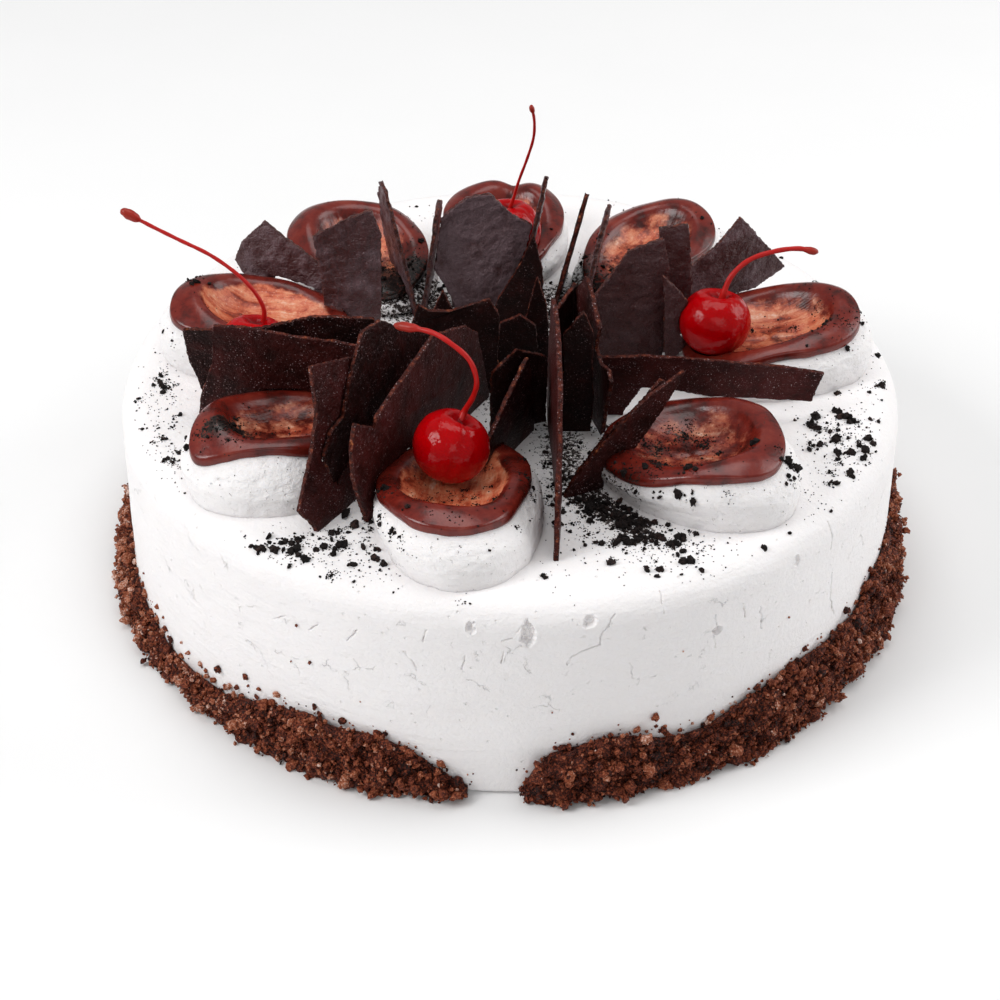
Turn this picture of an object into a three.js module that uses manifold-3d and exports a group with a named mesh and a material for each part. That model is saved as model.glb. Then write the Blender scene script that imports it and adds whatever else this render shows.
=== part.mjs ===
// Black forest cake: a round cake in whipped cream, with eight spoon-pressed dollops filled with
// ganache, a crown of chocolate bark, four stemmed cherries and a border of cake crumbs.
// Millimetres, +Z up. The origin is the middle of the flat base, and the front is -Y.

import * as THREE from 'three';
import { mergeVertices } from 'three/addons/utils/BufferGeometryUtils.js';
import Module from 'manifold-3d';

const wasm = await Module();
wasm.setup();

// ---- Driving dimensions ----

const GAP = 0.3; // clearance kept between pieces that touch

const CAKE_RADIUS = 118;
const CAKE_HEIGHT = 65;
const SHOULDER_RADIUS = 8.5;
const FOOT_ROUND = 1.2;
const SIDE_UNEVENNESS = 0.5; // how far the cream wanders off a true cylinder
const CAKE_SIDES = 60;

const DOLLOP_INNER_RISE = 0.25; // height at the inner end, as a share of the full height
const NOTCH_TURN = -0.28; // where the notch is on the rim, in radians off the dollop's axis
const DOLLOP_SIDES = 16;

const GANACHE_BEDDING = 0.62; // clearance between the cream and the ganache on it
const GANACHE_FILM = 1.2; // thickness in the dish
const GANACHE_LIP = 2.4; // thickness where it folds over the rim
const LIP_HANG = 0.7;

const CHERRY_RADIUS = 10.9;
const CHERRY_DIMPLE = 3.2;
const CHERRY_STEPS = 9;
const CHERRY_SIDES = 14;
const STEM_RADIUS = 0.85;
const STEM_KNOB_RADIUS = 1.6;

const BARK_THICKNESS = 1.5;
const BARK_EDGE_STEP = 13; // spacing of the nicks along a broken edge
const BARK_EDGE_NICK = 0.6;

const BORDER_START = -88; // degrees round the cake, where the crumb border begins
const BORDER_END = 265;
const BORDER_SECTIONS = 92;
const BORDER_REACH = 6; // how far the crumbs stand out at the base
const BORDER_BUMP = 1.1;
const BORDER_CRUMBS = 18;
const BORDER_CRUMB_RADIUS = 3.1;

const TOP_CRUMB_RADIUS = 1.9;

// ---- Materials ----

function material(color, roughness, metalness = 0) {
  return new THREE.MeshStandardMaterial({ color, roughness, metalness });
}

const creamMaterial = () => material('#f3f0ee', 0.7);
const crumbMaterial = () => material('#6b4034', 0.9);
const ganacheMaterial = () => material('#6f3226', 0.3);
const cherryMaterial = () => material('#c1040f', 0.15);
const stemMaterial = () => material('#c2353a', 0.45);
const barkMaterial = () => material('#3d2321', 0.6);

// ---- Helpers ----

const radians = THREE.MathUtils.degToRad;

// A repeatable stream of numbers from 0 to 1.
function seededRandom(seed) {
  let state = seed >>> 0;
  return () => {
    state = (state + 0x6d2b79f5) >>> 0;
    let mixed = Math.imul(state ^ (state >>> 15), 1 | state);
    mixed = (mixed + Math.imul(mixed ^ (mixed >>> 7), 61 | mixed)) ^ mixed;
    return ((mixed ^ (mixed >>> 14)) >>> 0) / 4294967296;
  };
}

function signedVolume(positions, triangles) {
  const corner = [new THREE.Vector3(), new THREE.Vector3(), new THREE.Vector3()];
  let volume = 0;
  for (let i = 0; i < triangles.length; i += 3) {
    corner.forEach((point, k) => point.fromArray(positions, 3 * triangles[i + k]));
    volume += corner[0].dot(corner[1].cross(corner[2])) / 6;
  }
  return volume;
}

// A closed geometry as a solid that can be joined and cut.
function toSolid(geometry) {
  const bare = new THREE.BufferGeometry();
  bare.setAttribute('position', geometry.getAttribute('position'));
  bare.setIndex(geometry.index);
  const merged = mergeVertices(bare, 1e-4);
  const index = merged.index.array;
  const triangles = [];
  for (let i = 0; i < index.length; i += 3) {
    const [a, b, c] = [index[i], index[i + 1], index[i + 2]];
    if (a !== b && b !== c && c !== a) {
      triangles.push(a, b, c);
    }
  }
  const positions = merged.getAttribute('position').array;
  if (signedVolume(positions, triangles) < 0) {
    triangles.reverse();
  }
  return new wasm.Manifold(new wasm.Mesh({
    numProp: 3,
    vertProperties: Float32Array.from(positions),
    triVerts: Uint32Array.from(triangles),
  }));
}

function toGeometry(solid) {
  const mesh = solid.getMesh();
  const geometry = new THREE.BufferGeometry();
  geometry.setAttribute('position', new THREE.BufferAttribute(mesh.vertProperties, 3));
  geometry.setIndex(new THREE.BufferAttribute(mesh.triVerts, 1));
  geometry.computeVertexNormals();
  return geometry;
}

// The biggest body of a solid: what a cut leaves loose beside it is dropped.
function biggestBody(solid) {
  const bodies = solid.decompose();
  return bodies.reduce((best, body) => (body.volume() > best.volume() ? body : best));
}

// A closed body through rings of points, with a point in the middle of the first and last ring.
// From ring turnAt on its facets are split the other way, like the body that those rings lie on.
function ringBody(start, rings, end, turnAt = rings.length) {
  const count = rings[0].length;
  const points = [start, ...rings.flat(), end];
  const at = (ring, i) => 1 + ring * count + (i % count);
  const triangles = [];
  for (let i = 0; i < count; i += 1) {
    triangles.push(0, at(0, i), at(0, i + 1));
    triangles.push(points.length - 1, at(rings.length - 1, i + 1), at(rings.length - 1, i));
    for (let ring = 0; ring + 1 < rings.length; ring += 1) {
      const [a, b, c, d] = [at(ring, i), at(ring + 1, i), at(ring + 1, i + 1), at(ring, i + 1)];
      triangles.push(...(ring < turnAt ? [a, b, d, d, b, c] : [a, b, c, a, c, d]));
    }
  }
  const geometry = new THREE.BufferGeometry();
  const numbers = points.flatMap((point) => point.toArray());
  geometry.setAttribute('position', new THREE.Float32BufferAttribute(numbers, 3));
  geometry.setIndex(triangles);
  return toSolid(geometry);
}

function centreOf(points) {
  const sum = points.reduce((total, point) => total.add(point), new THREE.Vector3());
  return sum.divideScalar(points.length);
}

// ---- Cake ----

// Wandering of the cream's side: nothing at the base, full height from there up.
function sideOffset(angle, z) {
  const fade = Math.min(z / 20, 1);
  const waves = Math.sin(3 * angle + 0.7) + 0.6 * Math.sin(7 * angle + z / 22);
  return SIDE_UNEVENNESS * fade * waves * 0.6;
}

function cakeProfile() {
  const profile = [[0, 0], [CAKE_RADIUS - FOOT_ROUND, 0], [CAKE_RADIUS, FOOT_ROUND], [CAKE_RADIUS, 20]];
  profile.push([CAKE_RADIUS - 0.3, CAKE_HEIGHT - SHOULDER_RADIUS]);
  const arcSteps = 4;
  for (let step = 1; step <= arcSteps; step += 1) {
    const turn = (Math.PI / 2) * (step / arcSteps);
    const inset = SHOULDER_RADIUS * (1 - Math.cos(turn));
    profile.push([CAKE_RADIUS - 0.3 - inset, CAKE_HEIGHT - SHOULDER_RADIUS * (1 - Math.sin(turn))]);
  }
  profile.push([0, CAKE_HEIGHT]);
  return profile.map(([r, z]) => new THREE.Vector2(r, z));
}

// Height of the cake's top surface at a distance from the middle.
function cakeTop(radius) {
  const inset = Math.max(0, radius - (CAKE_RADIUS - 0.3 - SHOULDER_RADIUS));
  return CAKE_HEIGHT - SHOULDER_RADIUS + Math.sqrt(Math.max(0, SHOULDER_RADIUS ** 2 - inset ** 2));
}

function makeCake() {
  const geometry = new THREE.LatheGeometry(cakeProfile(), CAKE_SIDES).rotateX(Math.PI / 2);
  const position = geometry.getAttribute('position');
  for (let i = 0; i < position.count; i += 1) {
    const radius = Math.hypot(position.getX(i), position.getY(i));
    if (radius > CAKE_RADIUS / 2) {
      const angle = Math.atan2(position.getY(i), position.getX(i));
      const scale = 1 + sideOffset(angle, position.getZ(i)) / radius;
      position.setXYZ(i, position.getX(i) * scale, position.getY(i) * scale, position.getZ(i));
    }
  }
  return toSolid(geometry);
}

// Dark cookie crumbs, as they lie scattered: middle of each patch, its half sizes, how many.
const topCrumbPatches = [
  { at: [32, -86], half: [20, 20], count: 11 },
  { at: [98, -36], half: [9, 18], count: 7 },
  { at: [-100, -36], half: [8, 22], count: 5 },
  { at: [-54, -94], half: [18, 8], count: 5 },
  { at: [-100, 36], half: [8, 20], count: 5 },
  { at: [60, 86], half: [22, 12], count: 4 },
  { at: [-50, 92], half: [22, 10], count: 4 },
];

function topCrumbs(keepClear) {
  const random = seededRandom(11);
  const crumbs = [];
  for (const { at, half, count } of topCrumbPatches) {
    for (let i = 0; i < count; i += 1) {
      const x = at[0] + half[0] * (2 * random() - 1);
      const y = at[1] + half[1] * (2 * random() - 1);
      const size = TOP_CRUMB_RADIUS * (0.65 + 0.7 * random());
      const radius = Math.hypot(x, y);
      const geometry = new THREE.IcosahedronGeometry(size, 0);
      geometry.rotateX(3 * random()).rotateZ(6 * random()).scale(1, 1, 0.8);
      geometry.translate(x, y, cakeTop(radius) + 0.15 * size);
      const crumb = toSolid(geometry);
      if (radius < CAKE_RADIUS - 4 && crumb.intersect(keepClear).isEmpty()) {
        crumbs.push(crumb);
      }
    }
  }
  return crumbs;
}

// ---- Crumb border ----

// Height of the crumbs on the side: degrees round the cake, then millimetres.
const borderLine = [
  [-88, 6], [-84, 17], [-78, 20], [-70, 17], [-62, 14], [-54, 19], [-44, 22], [-32, 20], [-24, 25],
  [0, 24], [30, 21], [60, 25], [95, 21], [130, 24], [165, 18], [190, 13], [205, 11], [215, 8],
  [226, 9], [233, 14], [241, 18], [248, 18], [254, 17], [258, 14], [262, 8], [265, 4],
];

function borderHeight(degrees) {
  const next = Math.max(1, borderLine.findIndex(([angle]) => angle >= degrees));
  const [[a0, h0], [a1, h1]] = [borderLine[next - 1], borderLine[next]];
  return THREE.MathUtils.mapLinear(degrees, a0, a1, h0, h1);
}

// Share of the height and share of the reach, down the outside of the border.
const borderSlope = [[1, 0.3], [0.78, 0.6], [0.45, 0.85], [0.15, 0.97], [0, 0.9]];

function borderPoint(degrees, z, standOff) {
  const angle = radians(degrees);
  const radius = CAKE_RADIUS + sideOffset(angle, z) + GAP + standOff;
  return new THREE.Vector3(radius * Math.cos(angle), radius * Math.sin(angle), z);
}

function makeBorder() {
  const random = seededRandom(5);
  const jitter = () => BORDER_BUMP * (2 * random() - 1);
  const sections = [];
  for (let i = 0; i <= BORDER_SECTIONS; i += 1) {
    const degrees = THREE.MathUtils.lerp(BORDER_START, BORDER_END, i / BORDER_SECTIONS);
    const height = borderHeight(degrees) + jitter();
    const reach = BORDER_REACH * Math.min(1, 0.45 + height / 20);
    const section = borderSlope.map(([up, out]) => {
      const z = up === 0 ? 0 : up * height + (up < 1 ? 0.7 * jitter() : 0);
      return borderPoint(degrees + 0.7 * jitter(), z, reach * out + jitter());
    });
    section.unshift(borderPoint(degrees, height - 0.5, 0));
    section.push(borderPoint(degrees, 0, 0));
    sections.push(section);
  }
  let border = ringBody(centreOf(sections[0]), sections, centreOf(sections.at(-1)));
  for (let i = 0; i < BORDER_CRUMBS; i += 1) {
    const share = (i + random()) / BORDER_CRUMBS;
    const degrees = THREE.MathUtils.lerp(BORDER_START + 2, BORDER_END - 2, share);
    const size = BORDER_CRUMB_RADIUS * (0.7 + 0.5 * random());
    const z = size + (borderHeight(degrees) - 1.4 * size) * random();
    const reach = BORDER_REACH * (1 - 0.6 * (z / borderHeight(degrees)));
    const middle = borderPoint(degrees, z, Math.max(size * 1.05, reach));
    const geometry = new THREE.IcosahedronGeometry(size, 0);
    geometry.rotateX(3 * random()).rotateY(3 * random()).translate(...middle);
    border = border.add(toSolid(geometry));
  }
  return biggestBody(border);
}

// ---- Cream dollops and their ganache ----

// From the dish over the rim: share of the outline, share of the height.
const dishSection = [[0.4, 0.58], [0.62, 0.86], [0.72, 0.97]];
const flankSection = [[1.04, 0.3], [0.99, 0]];
const EDGE_HIGH = [0.81, 0.97]; // where the ganache ends on the rim
const EDGE_LOW = [1.01, 0.5]; // and at the end of a long drip
const FLANK_BULGE = 0.08;
const GANACHE_RINGS = 4; // the first rings, down to the edge of the ganache
const ganacheThickness = [GANACHE_FILM, 0.6 * GANACHE_LIP, 0.9 * GANACHE_LIP, GANACHE_LIP];

// Middle of each dollop in degrees and millimetres from the cake's middle, how far its long axis
// is turned off the radius, its length, width and height, how far its top leans out and across,
// how far the ganache spreads along and across it, how much it widens outward, how deep the spoon
// notched its rim, which way its drip runs, in degrees off its own axis, how long the drip is as
// a share, and a number that sets its unevenness.
const dollops = [
  {
    name: 'front', place: -98.5, reach: 78, twist: 2, length: 61, width: 45, height: 17,
    lean: [-4.5, -4], cover: [1, 1.06], flare: 0.14, notch: 0, drip: -20, dripLength: 0.1, seed: 1,
  },
  {
    name: 'front_right', place: -47, reach: 78, twist: 18, length: 62, width: 42, height: 19,
    lean: [-3.5, 2], cover: [0.98, 1.2], flare: 0.1, notch: 0, drip: -25, dripLength: 0.2, seed: 2,
  },
  {
    name: 'right', place: 4, reach: 80, twist: -2, length: 60, width: 44, height: 19,
    lean: [-1, 3], cover: [1, 1.04], flare: -0.08, notch: 0, drip: -60, dripLength: 0.2, seed: 3,
  },
  {
    name: 'back_right', place: 53.5, reach: 72, twist: -4, length: 54, width: 40, height: 16,
    lean: [0, 0], cover: [1, 1], flare: 0.1, notch: 0, drip: 40, dripLength: 0.3, seed: 4,
  },
  {
    name: 'back', place: 92, reach: 69, twist: 3, length: 52, width: 40, height: 17,
    lean: [0, 0], cover: [1, 1], flare: 0.14, notch: 0.22, drip: -60, dripLength: 0.3, seed: 5,
  },
  {
    name: 'back_left', place: 131, reach: 71, twist: -3, length: 52, width: 42, height: 19,
    lean: [0, 0], cover: [1, 1], flare: 0.1, notch: 0, drip: 50, dripLength: 0.4, seed: 6,
  },
  {
    name: 'left', place: 172, reach: 77, twist: 4, length: 58, width: 42, height: 18.5,
    lean: [-2, -3], cover: [1, 1.04], flare: 0.1, notch: 0, drip: 30, dripLength: 0.3, seed: 7,
  },
  {
    name: 'front_left', place: -140, reach: 80.5, twist: -4, length: 62, width: 44, height: 18.5,
    lean: [-3, -6], cover: [0.98, 0.88], flare: 0.1, notch: 0, drip: -4, dripLength: 0.6, seed: 8,
  },
];

// A point of a dollop, from its shares and an angle. Filled is 1 where ganache covers it.
function dollopPoint(dollop, share, rise, angle, filled = 0) {
  const { place, reach, twist, length, width, height, lean, cover, flare, notch, seed } = dollop;
  const wobble = 1 + 0.035 * Math.sin(2 * angle + 2 * seed) + 0.025 * Math.sin(3 * angle + seed);
  const [spreadAlong, spreadAcross] = cover.map((value) => 1 + (value - 1) * filled);
  const along = share * wobble * spreadAlong * (length / 2) * Math.cos(angle);
  const widened = 1 + flare * Math.cos(angle);
  const across = share * wobble * spreadAcross * (width / 2) * Math.sin(angle) * widened;
  const outward = THREE.MathUtils.clamp(0.5 + along / length, 0, 1);
  const cut = notch * filled * Math.exp(-((Math.sin((angle - NOTCH_TURN) / 2) / 0.13) ** 2));
  const ripple = (1 + 0.05 * Math.sin(3 * angle + 2 * seed)) * (1 - cut);
  const up = height * rise * THREE.MathUtils.lerp(DOLLOP_INNER_RISE, 1, outward) * ripple;
  const point = new THREE.Vector3(along + lean[0] * rise, across + lean[1] * rise, up);
  point.applyAxisAngle(new THREE.Vector3(0, 0, 1), radians(place + twist));
  point.x += reach * Math.cos(radians(place));
  point.y += reach * Math.sin(radians(place));
  point.z += CAKE_HEIGHT + GAP;
  return point;
}

// How far down the flank the ganache runs: 0 on the rim, 1 at the low end.
function edgeDrop({ drip, dripLength, seed }, angle) {
  const away = Math.sin((angle - radians(drip)) / 2);
  const run = dripLength * Math.exp(-((away / 0.2) ** 2));
  return 0.22 + 0.12 * Math.sin(3 * angle + seed) + 0.7 * run;
}

// The whole section at an angle round the dollop, from the dish to the foot.
function sectionAt(dollop, angle) {
  const drop = edgeDrop(dollop, angle);
  const between = (from, to, share) => from.map((value, k) => THREE.MathUtils.lerp(value, to[k], share));
  const edge = between(EDGE_HIGH, EDGE_LOW, drop);
  const flank = between(edge, flankSection[0], 0.5);
  flank[0] += FLANK_BULGE * (1 - drop);
  return [...dishSection, edge, flank, ...flankSection];
}

function dollopRings(dollop) {
  const angles = Array.from({ length: DOLLOP_SIDES }, (_, i) => (2 * Math.PI * i) / DOLLOP_SIDES);
  const sections = angles.map((angle) => sectionAt(dollop, angle));
  const filled = (ring) => (ring < GANACHE_RINGS ? 1 : 0.5 * (ring === GANACHE_RINGS));
  const ringAt = (ring) => angles.map((angle, i) => {
    const [share, rise] = sections[i][ring];
    return dollopPoint(dollop, share, rise, angle, filled(ring));
  });
  return sections[0].map((_, ring) => ringAt(ring));
}

// Rings of normals that stand off the dollop's surface.
function ringNormals(rings, middle) {
  return rings.map((ring, r) => ring.map((point, i) => {
    const inner = r === 0 ? middle : rings[r - 1][i];
    const outer = rings[Math.min(r + 1, rings.length - 1)][i];
    const before = ring[(i + ring.length - 1) % ring.length];
    const after = ring[(i + 1) % ring.length];
    const along = outer.clone().sub(inner);
    const around = after.clone().sub(before);
    return along.cross(around).normalize();
  }));
}

function shiftRings(rings, normals, distance) {
  const shift = (point, r, i) => point.clone().addScaledVector(normals[r][i], distance(r));
  return rings.map((ring, r) => ring.map((point, i) => shift(point, r, i)));
}

function dishMiddle(dollop) {
  return dollopPoint(dollop, 0, dishSection[0][1] - 0.06, 0);
}

function makeDollop(dollop) {
  const rings = dollopRings(dollop);
  return ringBody(dishMiddle(dollop), rings, dollopPoint(dollop, 0, 0, 0));
}

function hangingEdge(rings, normals) {
  const last = GANACHE_RINGS - 1;
  return rings[last].map((point, i) => {
    const edge = point.clone().addScaledVector(normals[last][i], 0.62 * GANACHE_LIP);
    edge.z -= LIP_HANG;
    return edge;
  });
}

function makeGanache(dollop) {
  const rings = dollopRings(dollop);
  const middle = dishMiddle(dollop);
  const normals = ringNormals(rings, middle);
  const covered = rings.slice(0, GANACHE_RINGS);
  const under = shiftRings(covered, normals, () => GANACHE_BEDDING);
  const over = shiftRings(covered, normals, (r) => ganacheThickness[r] + GAP);
  const top = middle.clone().setZ(middle.z + GANACHE_FILM + GAP);
  const bottom = middle.clone().setZ(middle.z + GANACHE_BEDDING);
  const all = [...over, hangingEdge(rings, normals), ...under.reverse()];
  return ringBody(top, all, bottom, GANACHE_RINGS + 1);
}

// The space that a dollop and its ganache take, with clearance round it.
function dollopSpace(dollop) {
  const clearance = 1.5 * GAP;
  const rings = dollopRings(dollop);
  const middle = dishMiddle(dollop);
  const normals = ringNormals(rings, middle);
  const thickness = (r) => clearance + GAP + (r < GANACHE_RINGS ? ganacheThickness[r] : 0);
  const outside = shiftRings(rings, normals, thickness);
  const edge = hangingEdge(rings, normals).map((point, i) => {
    point.addScaledVector(normals[GANACHE_RINGS][i], clearance + GAP);
    return point;
  });
  outside.splice(GANACHE_RINGS, 0, edge);
  outside.at(-1).forEach((point) => point.setZ(CAKE_HEIGHT - 1));
  const top = middle.clone().setZ(middle.z + GANACHE_FILM + GAP + clearance);
  return ringBody(top, outside, middle.clone().setZ(CAKE_HEIGHT - 1));
}

// ---- Cherries and stems ----

// Middle of each cherry, which way its dimple leans, and the stem's route from the dimple out.
const cherries = [
  {
    name: 'front', middle: [-16, -67, 83.3], lean: 26, toward: 25,
    stem: [
      [-13.3, -63.2, 89.5], [-12.4, -62, 91.5], [-10, -63, 97], [-9, -64, 103], [-11, -63, 109],
      [-16, -61, 113], [-21, -58, 114.5], [-31, -53, 113.3],
    ],
  },
  {
    name: 'right', middle: [61.7, 3, 81], lean: 14, toward: 60,
    stem: [
      [63.5, 4.1, 88.3], [64, 4.5, 90.5], [66, 6, 95], [71, 8, 99.3], [79, 9, 102],
      [86, 9.5, 102.6], [92, 10, 101],
    ],
  },
  {
    name: 'back', middle: [-1, 60, 79.5], lean: 10, toward: 80,
    stem: [
      [-0.2, 61.7, 86.7], [1, 62, 90.5], [2.5, 62.5, 96], [5, 62, 104], [7, 60, 113],
      [7, 58.5, 120], [6, 57.5, 125],
    ],
  },
  {
    name: 'left', middle: [-76, -9, 78], lean: 16, toward: 60,
    stem: [
      [-73.5, -5, 84.5], [-73, -4.5, 88], [-74.5, -3.5, 92], [-79, -2, 97.5], [-88, 1, 103.5],
      [-98, 3, 108], [-106, 4, 112], [-113.5, 5, 116],
    ],
  },
];

function makeCherry({ middle, lean, toward }, grow = 0) {
  const steps = CHERRY_STEPS;
  const radius = CHERRY_RADIUS + grow;
  const profile = [];
  for (let step = 0; step <= steps; step += 1) {
    const turn = (Math.PI * step) / steps;
    const out = step % steps === 0 ? 0 : radius * Math.sin(turn);
    const dimple = step > steps / 2 ? CHERRY_DIMPLE * Math.exp(-((out / 4.2) ** 2)) : 0;
    profile.push(new THREE.Vector2(out, -0.95 * radius * Math.cos(turn) - dimple));
  }
  const geometry = new THREE.LatheGeometry(profile, CHERRY_SIDES).rotateX(Math.PI / 2);
  geometry.rotateY(radians(lean)).rotateZ(radians(toward)).translate(...middle);
  return toSolid(geometry);
}

function makeStem({ stem }, grow = 0) {
  const route = new THREE.CatmullRomCurve3(stem.map((point) => new THREE.Vector3(...point)));
  const circle = new THREE.Shape().absarc(0, 0, STEM_RADIUS + grow, 0, 2 * Math.PI);
  const tube = new THREE.ExtrudeGeometry(circle, { steps: 11, curveSegments: 3, extrudePath: route });
  const knob = new THREE.SphereGeometry(STEM_KNOB_RADIUS + grow, 6, 4);
  knob.scale(0.8, 0.8, 1.3).translate(...stem.at(-1));
  return toSolid(tube).add(toSolid(knob));
}

// ---- Chocolate bark ----

// Each plate stands on the cake's top. "at" is a point of its foot line and "turn" the direction
// of that line, in degrees. "lean" tips the plate to the right of that direction. The outline's
// points are millimetres along the foot line and up the plate. "bow" is how far it is curved.
const barkPlates = [
  {
    at: [-39, -78], turn: -117, lean: 0, bow: 1,
    outline: [
      [0, 0], [4, 9], [8, 20], [8, 29], [5, 36], [-6, 28], [-7, 31], [-19, 34], [-40, 39],
      [-58, 32], [-65, 26], [-72, 0],
    ],
  },
  {
    at: [-45, -66], turn: -120, lean: 8, bow: 1,
    outline: [
      [5, 0], [8, 18], [3, 23], [-4, 24], [-9, 31], [-19, 43], [-28, 42], [-49, 27], [-52, 0],
    ],
  },
  {
    at: [-50, -78], turn: -122, lean: 17, bow: 0,
    outline: [[5, 0], [10, 9], [-1, 21], [-8, 30], [-11, 43], [-31, 36], [-33, 0]],
  },
  {
    at: [-45, -30], turn: 180, lean: 0, bow: 1,
    outline: [
      [-4, 0], [45, 0], [46, 4], [45, 10], [41, 21], [40, 34], [31, 33], [16, 30], [-4, 27],
    ],
  },
  {
    at: [-45, -22], turn: 180, lean: 0, bow: -1,
    outline: [[-6, 0], [43, 0], [46, 8], [49, 18], [50, 28], [28, 29], [12, 33], [-6, 32]],
  },
  {
    at: [25, -23], turn: 0, lean: 0, bow: 1,
    outline: [[-4, 0], [8, 0], [14, 10], [34, 7], [64, 5], [67, 15], [40, 19], [14, 21], [0, 20]],
  },
  {
    at: [15, -66], turn: 28, lean: 0, bow: 0,
    outline: [
      [0, 0], [3, 5], [11, 13], [19, 20], [26, 26], [39, 32], [37, 28], [24, 11], [17, 4], [12, 0],
    ],
  },
  {
    at: [16, -58], turn: 28, lean: 0, bow: 0,
    outline: [[2, 0], [14, 13], [23, 19], [30, 26], [32, 25], [20, 8], [14, 0]],
  },
  {
    at: [13, -95], turn: 91, lean: 0, bow: 1.5,
    outline: [[0, 0], [5, 20], [22, 38], [50, 42], [70, 41], [76, 0]],
  },
  {
    at: [-7, -62], turn: -114, lean: 0, bow: 1,
    outline: [[0, 0], [0, 13], [-10, 17], [-23, 23], [-30, 27], [-34, 12], [-34, 0]],
  },
  {
    at: [25, -28], turn: -75, lean: 0, bow: -1,
    outline: [
      [7, 0], [10, 12], [16, 24], [12, 26], [2, 22], [-3, 24], [1, 33], [-5, 37], [-14, 42],
      [-22, 32], [-24, 0],
    ],
  },
  {
    at: [-15, -12], turn: 0, lean: 0, bow: 1,
    outline: [[-15, 0], [-14, 24], [-12, 31], [-9, 29], [-2, 29], [9, 33], [12, 27], [12, 0]],
  },
  {
    at: [-20, -4], turn: 0, lean: 0, bow: 0,
    outline: [[-8, 0], [-7, 12], [0, 31], [3, 24], [5, 0]],
  },
  {
    at: [-60, 28], turn: 165, lean: 10, bow: -1,
    outline: [
      [-3, 0], [-4, 16], [1, 20], [12, 27], [18, 31], [26, 22], [28, 16], [23, 9], [21, 0],
    ],
  },
  {
    at: [-50, 20], turn: 180, lean: 0, bow: 0,
    outline: [[-10, 0], [-11, 36], [-8, 44], [1, 40], [10, 35], [8, 20], [7, 0]],
  },
  {
    at: [-29.5, 30], turn: 108, lean: -8, bow: 0,
    outline: [[0, 0], [-1, 4], [3, 17], [8, 30], [12, 40], [17, 41], [24, 33], [26, 20], [24, 0]],
  },
  {
    at: [-27.5, 30], turn: 84, lean: 7, bow: 0,
    outline: [[0, 0], [2, 18], [6, 34], [10, 37], [16, 33], [22, 20], [24, 0]],
  },
  {
    at: [-12, 40], turn: 10, lean: 0, bow: 3,
    outline: [
      [-6, 0], [-8, 5], [-15, 19], [-15.5, 25], [-9, 33], [-2, 39], [5, 40], [12, 32], [19, 26],
      [17, 18], [13, 10], [8, 0],
    ],
  },
  {
    at: [3, 40], turn: 84, lean: 10, bow: 0,
    outline: [[0, 0], [2, 20], [5, 43], [7, 42], [15, 24], [18, 0]],
  },
  {
    at: [0, 28], turn: 0, lean: 0, bow: 0,
    outline: [[-6, 0], [-4, 8], [3, 21], [7, 32], [10, 19], [11, 0]],
  },
  {
    at: [3, 0], turn: 0, lean: 0, bow: 0,
    outline: [[-8, 0], [-6, 17], [0, 20], [5, 16], [6, 0]],
  },
  {
    at: [8, 6], turn: 0, lean: 0, bow: 0,
    outline: [[-6, 0], [-4, 12], [0, 30], [3, 20], [4, 0]],
  },
  {
    at: [13, 32], turn: 80, lean: 13, bow: 0,
    outline: [[0, 0], [12, 36], [14, 38], [22, 24], [27, 0]],
  },
  {
    at: [22, 30], turn: 80, lean: 10.5, bow: 0,
    outline: [[0, 0], [4, 20], [10, 34], [14, 34.5], [24, 22], [28, 0]],
  },
  {
    at: [27, 3], turn: 14, lean: 0, bow: 1,
    outline: [[0, 0], [-2, 25], [8, 40], [19, 42.5], [21, 32], [22, 14], [20, 0]],
  },
  {
    at: [50, 12], turn: 5, lean: 0, bow: 0,
    outline: [[-6, 0], [-6, 43.5], [3, 44.5], [5, 25], [4, 0]],
  },
  {
    at: [48, 2], turn: 5, lean: 0, bow: 0,
    outline: [[-1, 0], [-3, 33], [1, 29], [5, 24], [7, 9], [6, 0]],
  },
  {
    at: [50, 23], turn: 25, lean: 0, bow: 1,
    outline: [
      [-6, 0], [6, 0], [12, 8], [29, 9], [40, 14], [32, 24], [22, 36], [14, 28], [-2, 18],
    ],
  },
  {
    at: [2, -30], turn: 20, lean: 0, bow: 0,
    outline: [[-8, 0], [-8, 20], [0, 27], [10, 22], [12, 0]],
  },
  {
    at: [18, -8], turn: 55, lean: 0, bow: 0,
    outline: [[-9, 0], [-9, 30], [2, 35], [10, 26], [11, 0]],
  },
  {
    at: [19, -32], turn: 0, lean: 0, bow: 0,
    outline: [[-4, 0], [-4, 33], [2, 41], [5, 34], [5, 0]],
  },
];

// The outline with small nicks along its broken edges, pushed outward by grow.
function brokenOutline(outline, seed, grow) {
  const random = seededRandom(seed);
  const corners = outline.map(([u, v]) => new THREE.Vector2(u, v));
  const points = corners.flatMap((corner, i) => {
    const next = corners[(i + 1) % corners.length];
    const span = next.clone().sub(corner);
    const pieces = Math.max(1, Math.round(span.length() / BARK_EDGE_STEP));
    const across = new THREE.Vector2(span.y, -span.x).normalize();
    return Array.from({ length: pieces }, (_, k) => {
      const nick = k === 0 ? 0 : BARK_EDGE_NICK * (2 * random() - 1);
      return corner.clone().addScaledVector(span, k / pieces).addScaledVector(across, nick);
    });
  });
  if (THREE.ShapeUtils.isClockWise(points)) {
    points.reverse();
  }
  return points.map((point, i) => {
    const before = point.clone().sub(points[(i + points.length - 1) % points.length]).normalize();
    const after = points[(i + 1) % points.length].clone().sub(point).normalize();
    const tangent = before.add(after).normalize();
    return new THREE.Vector2(point.x + tangent.y * grow, point.y - tangent.x * grow);
  });
}

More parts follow.
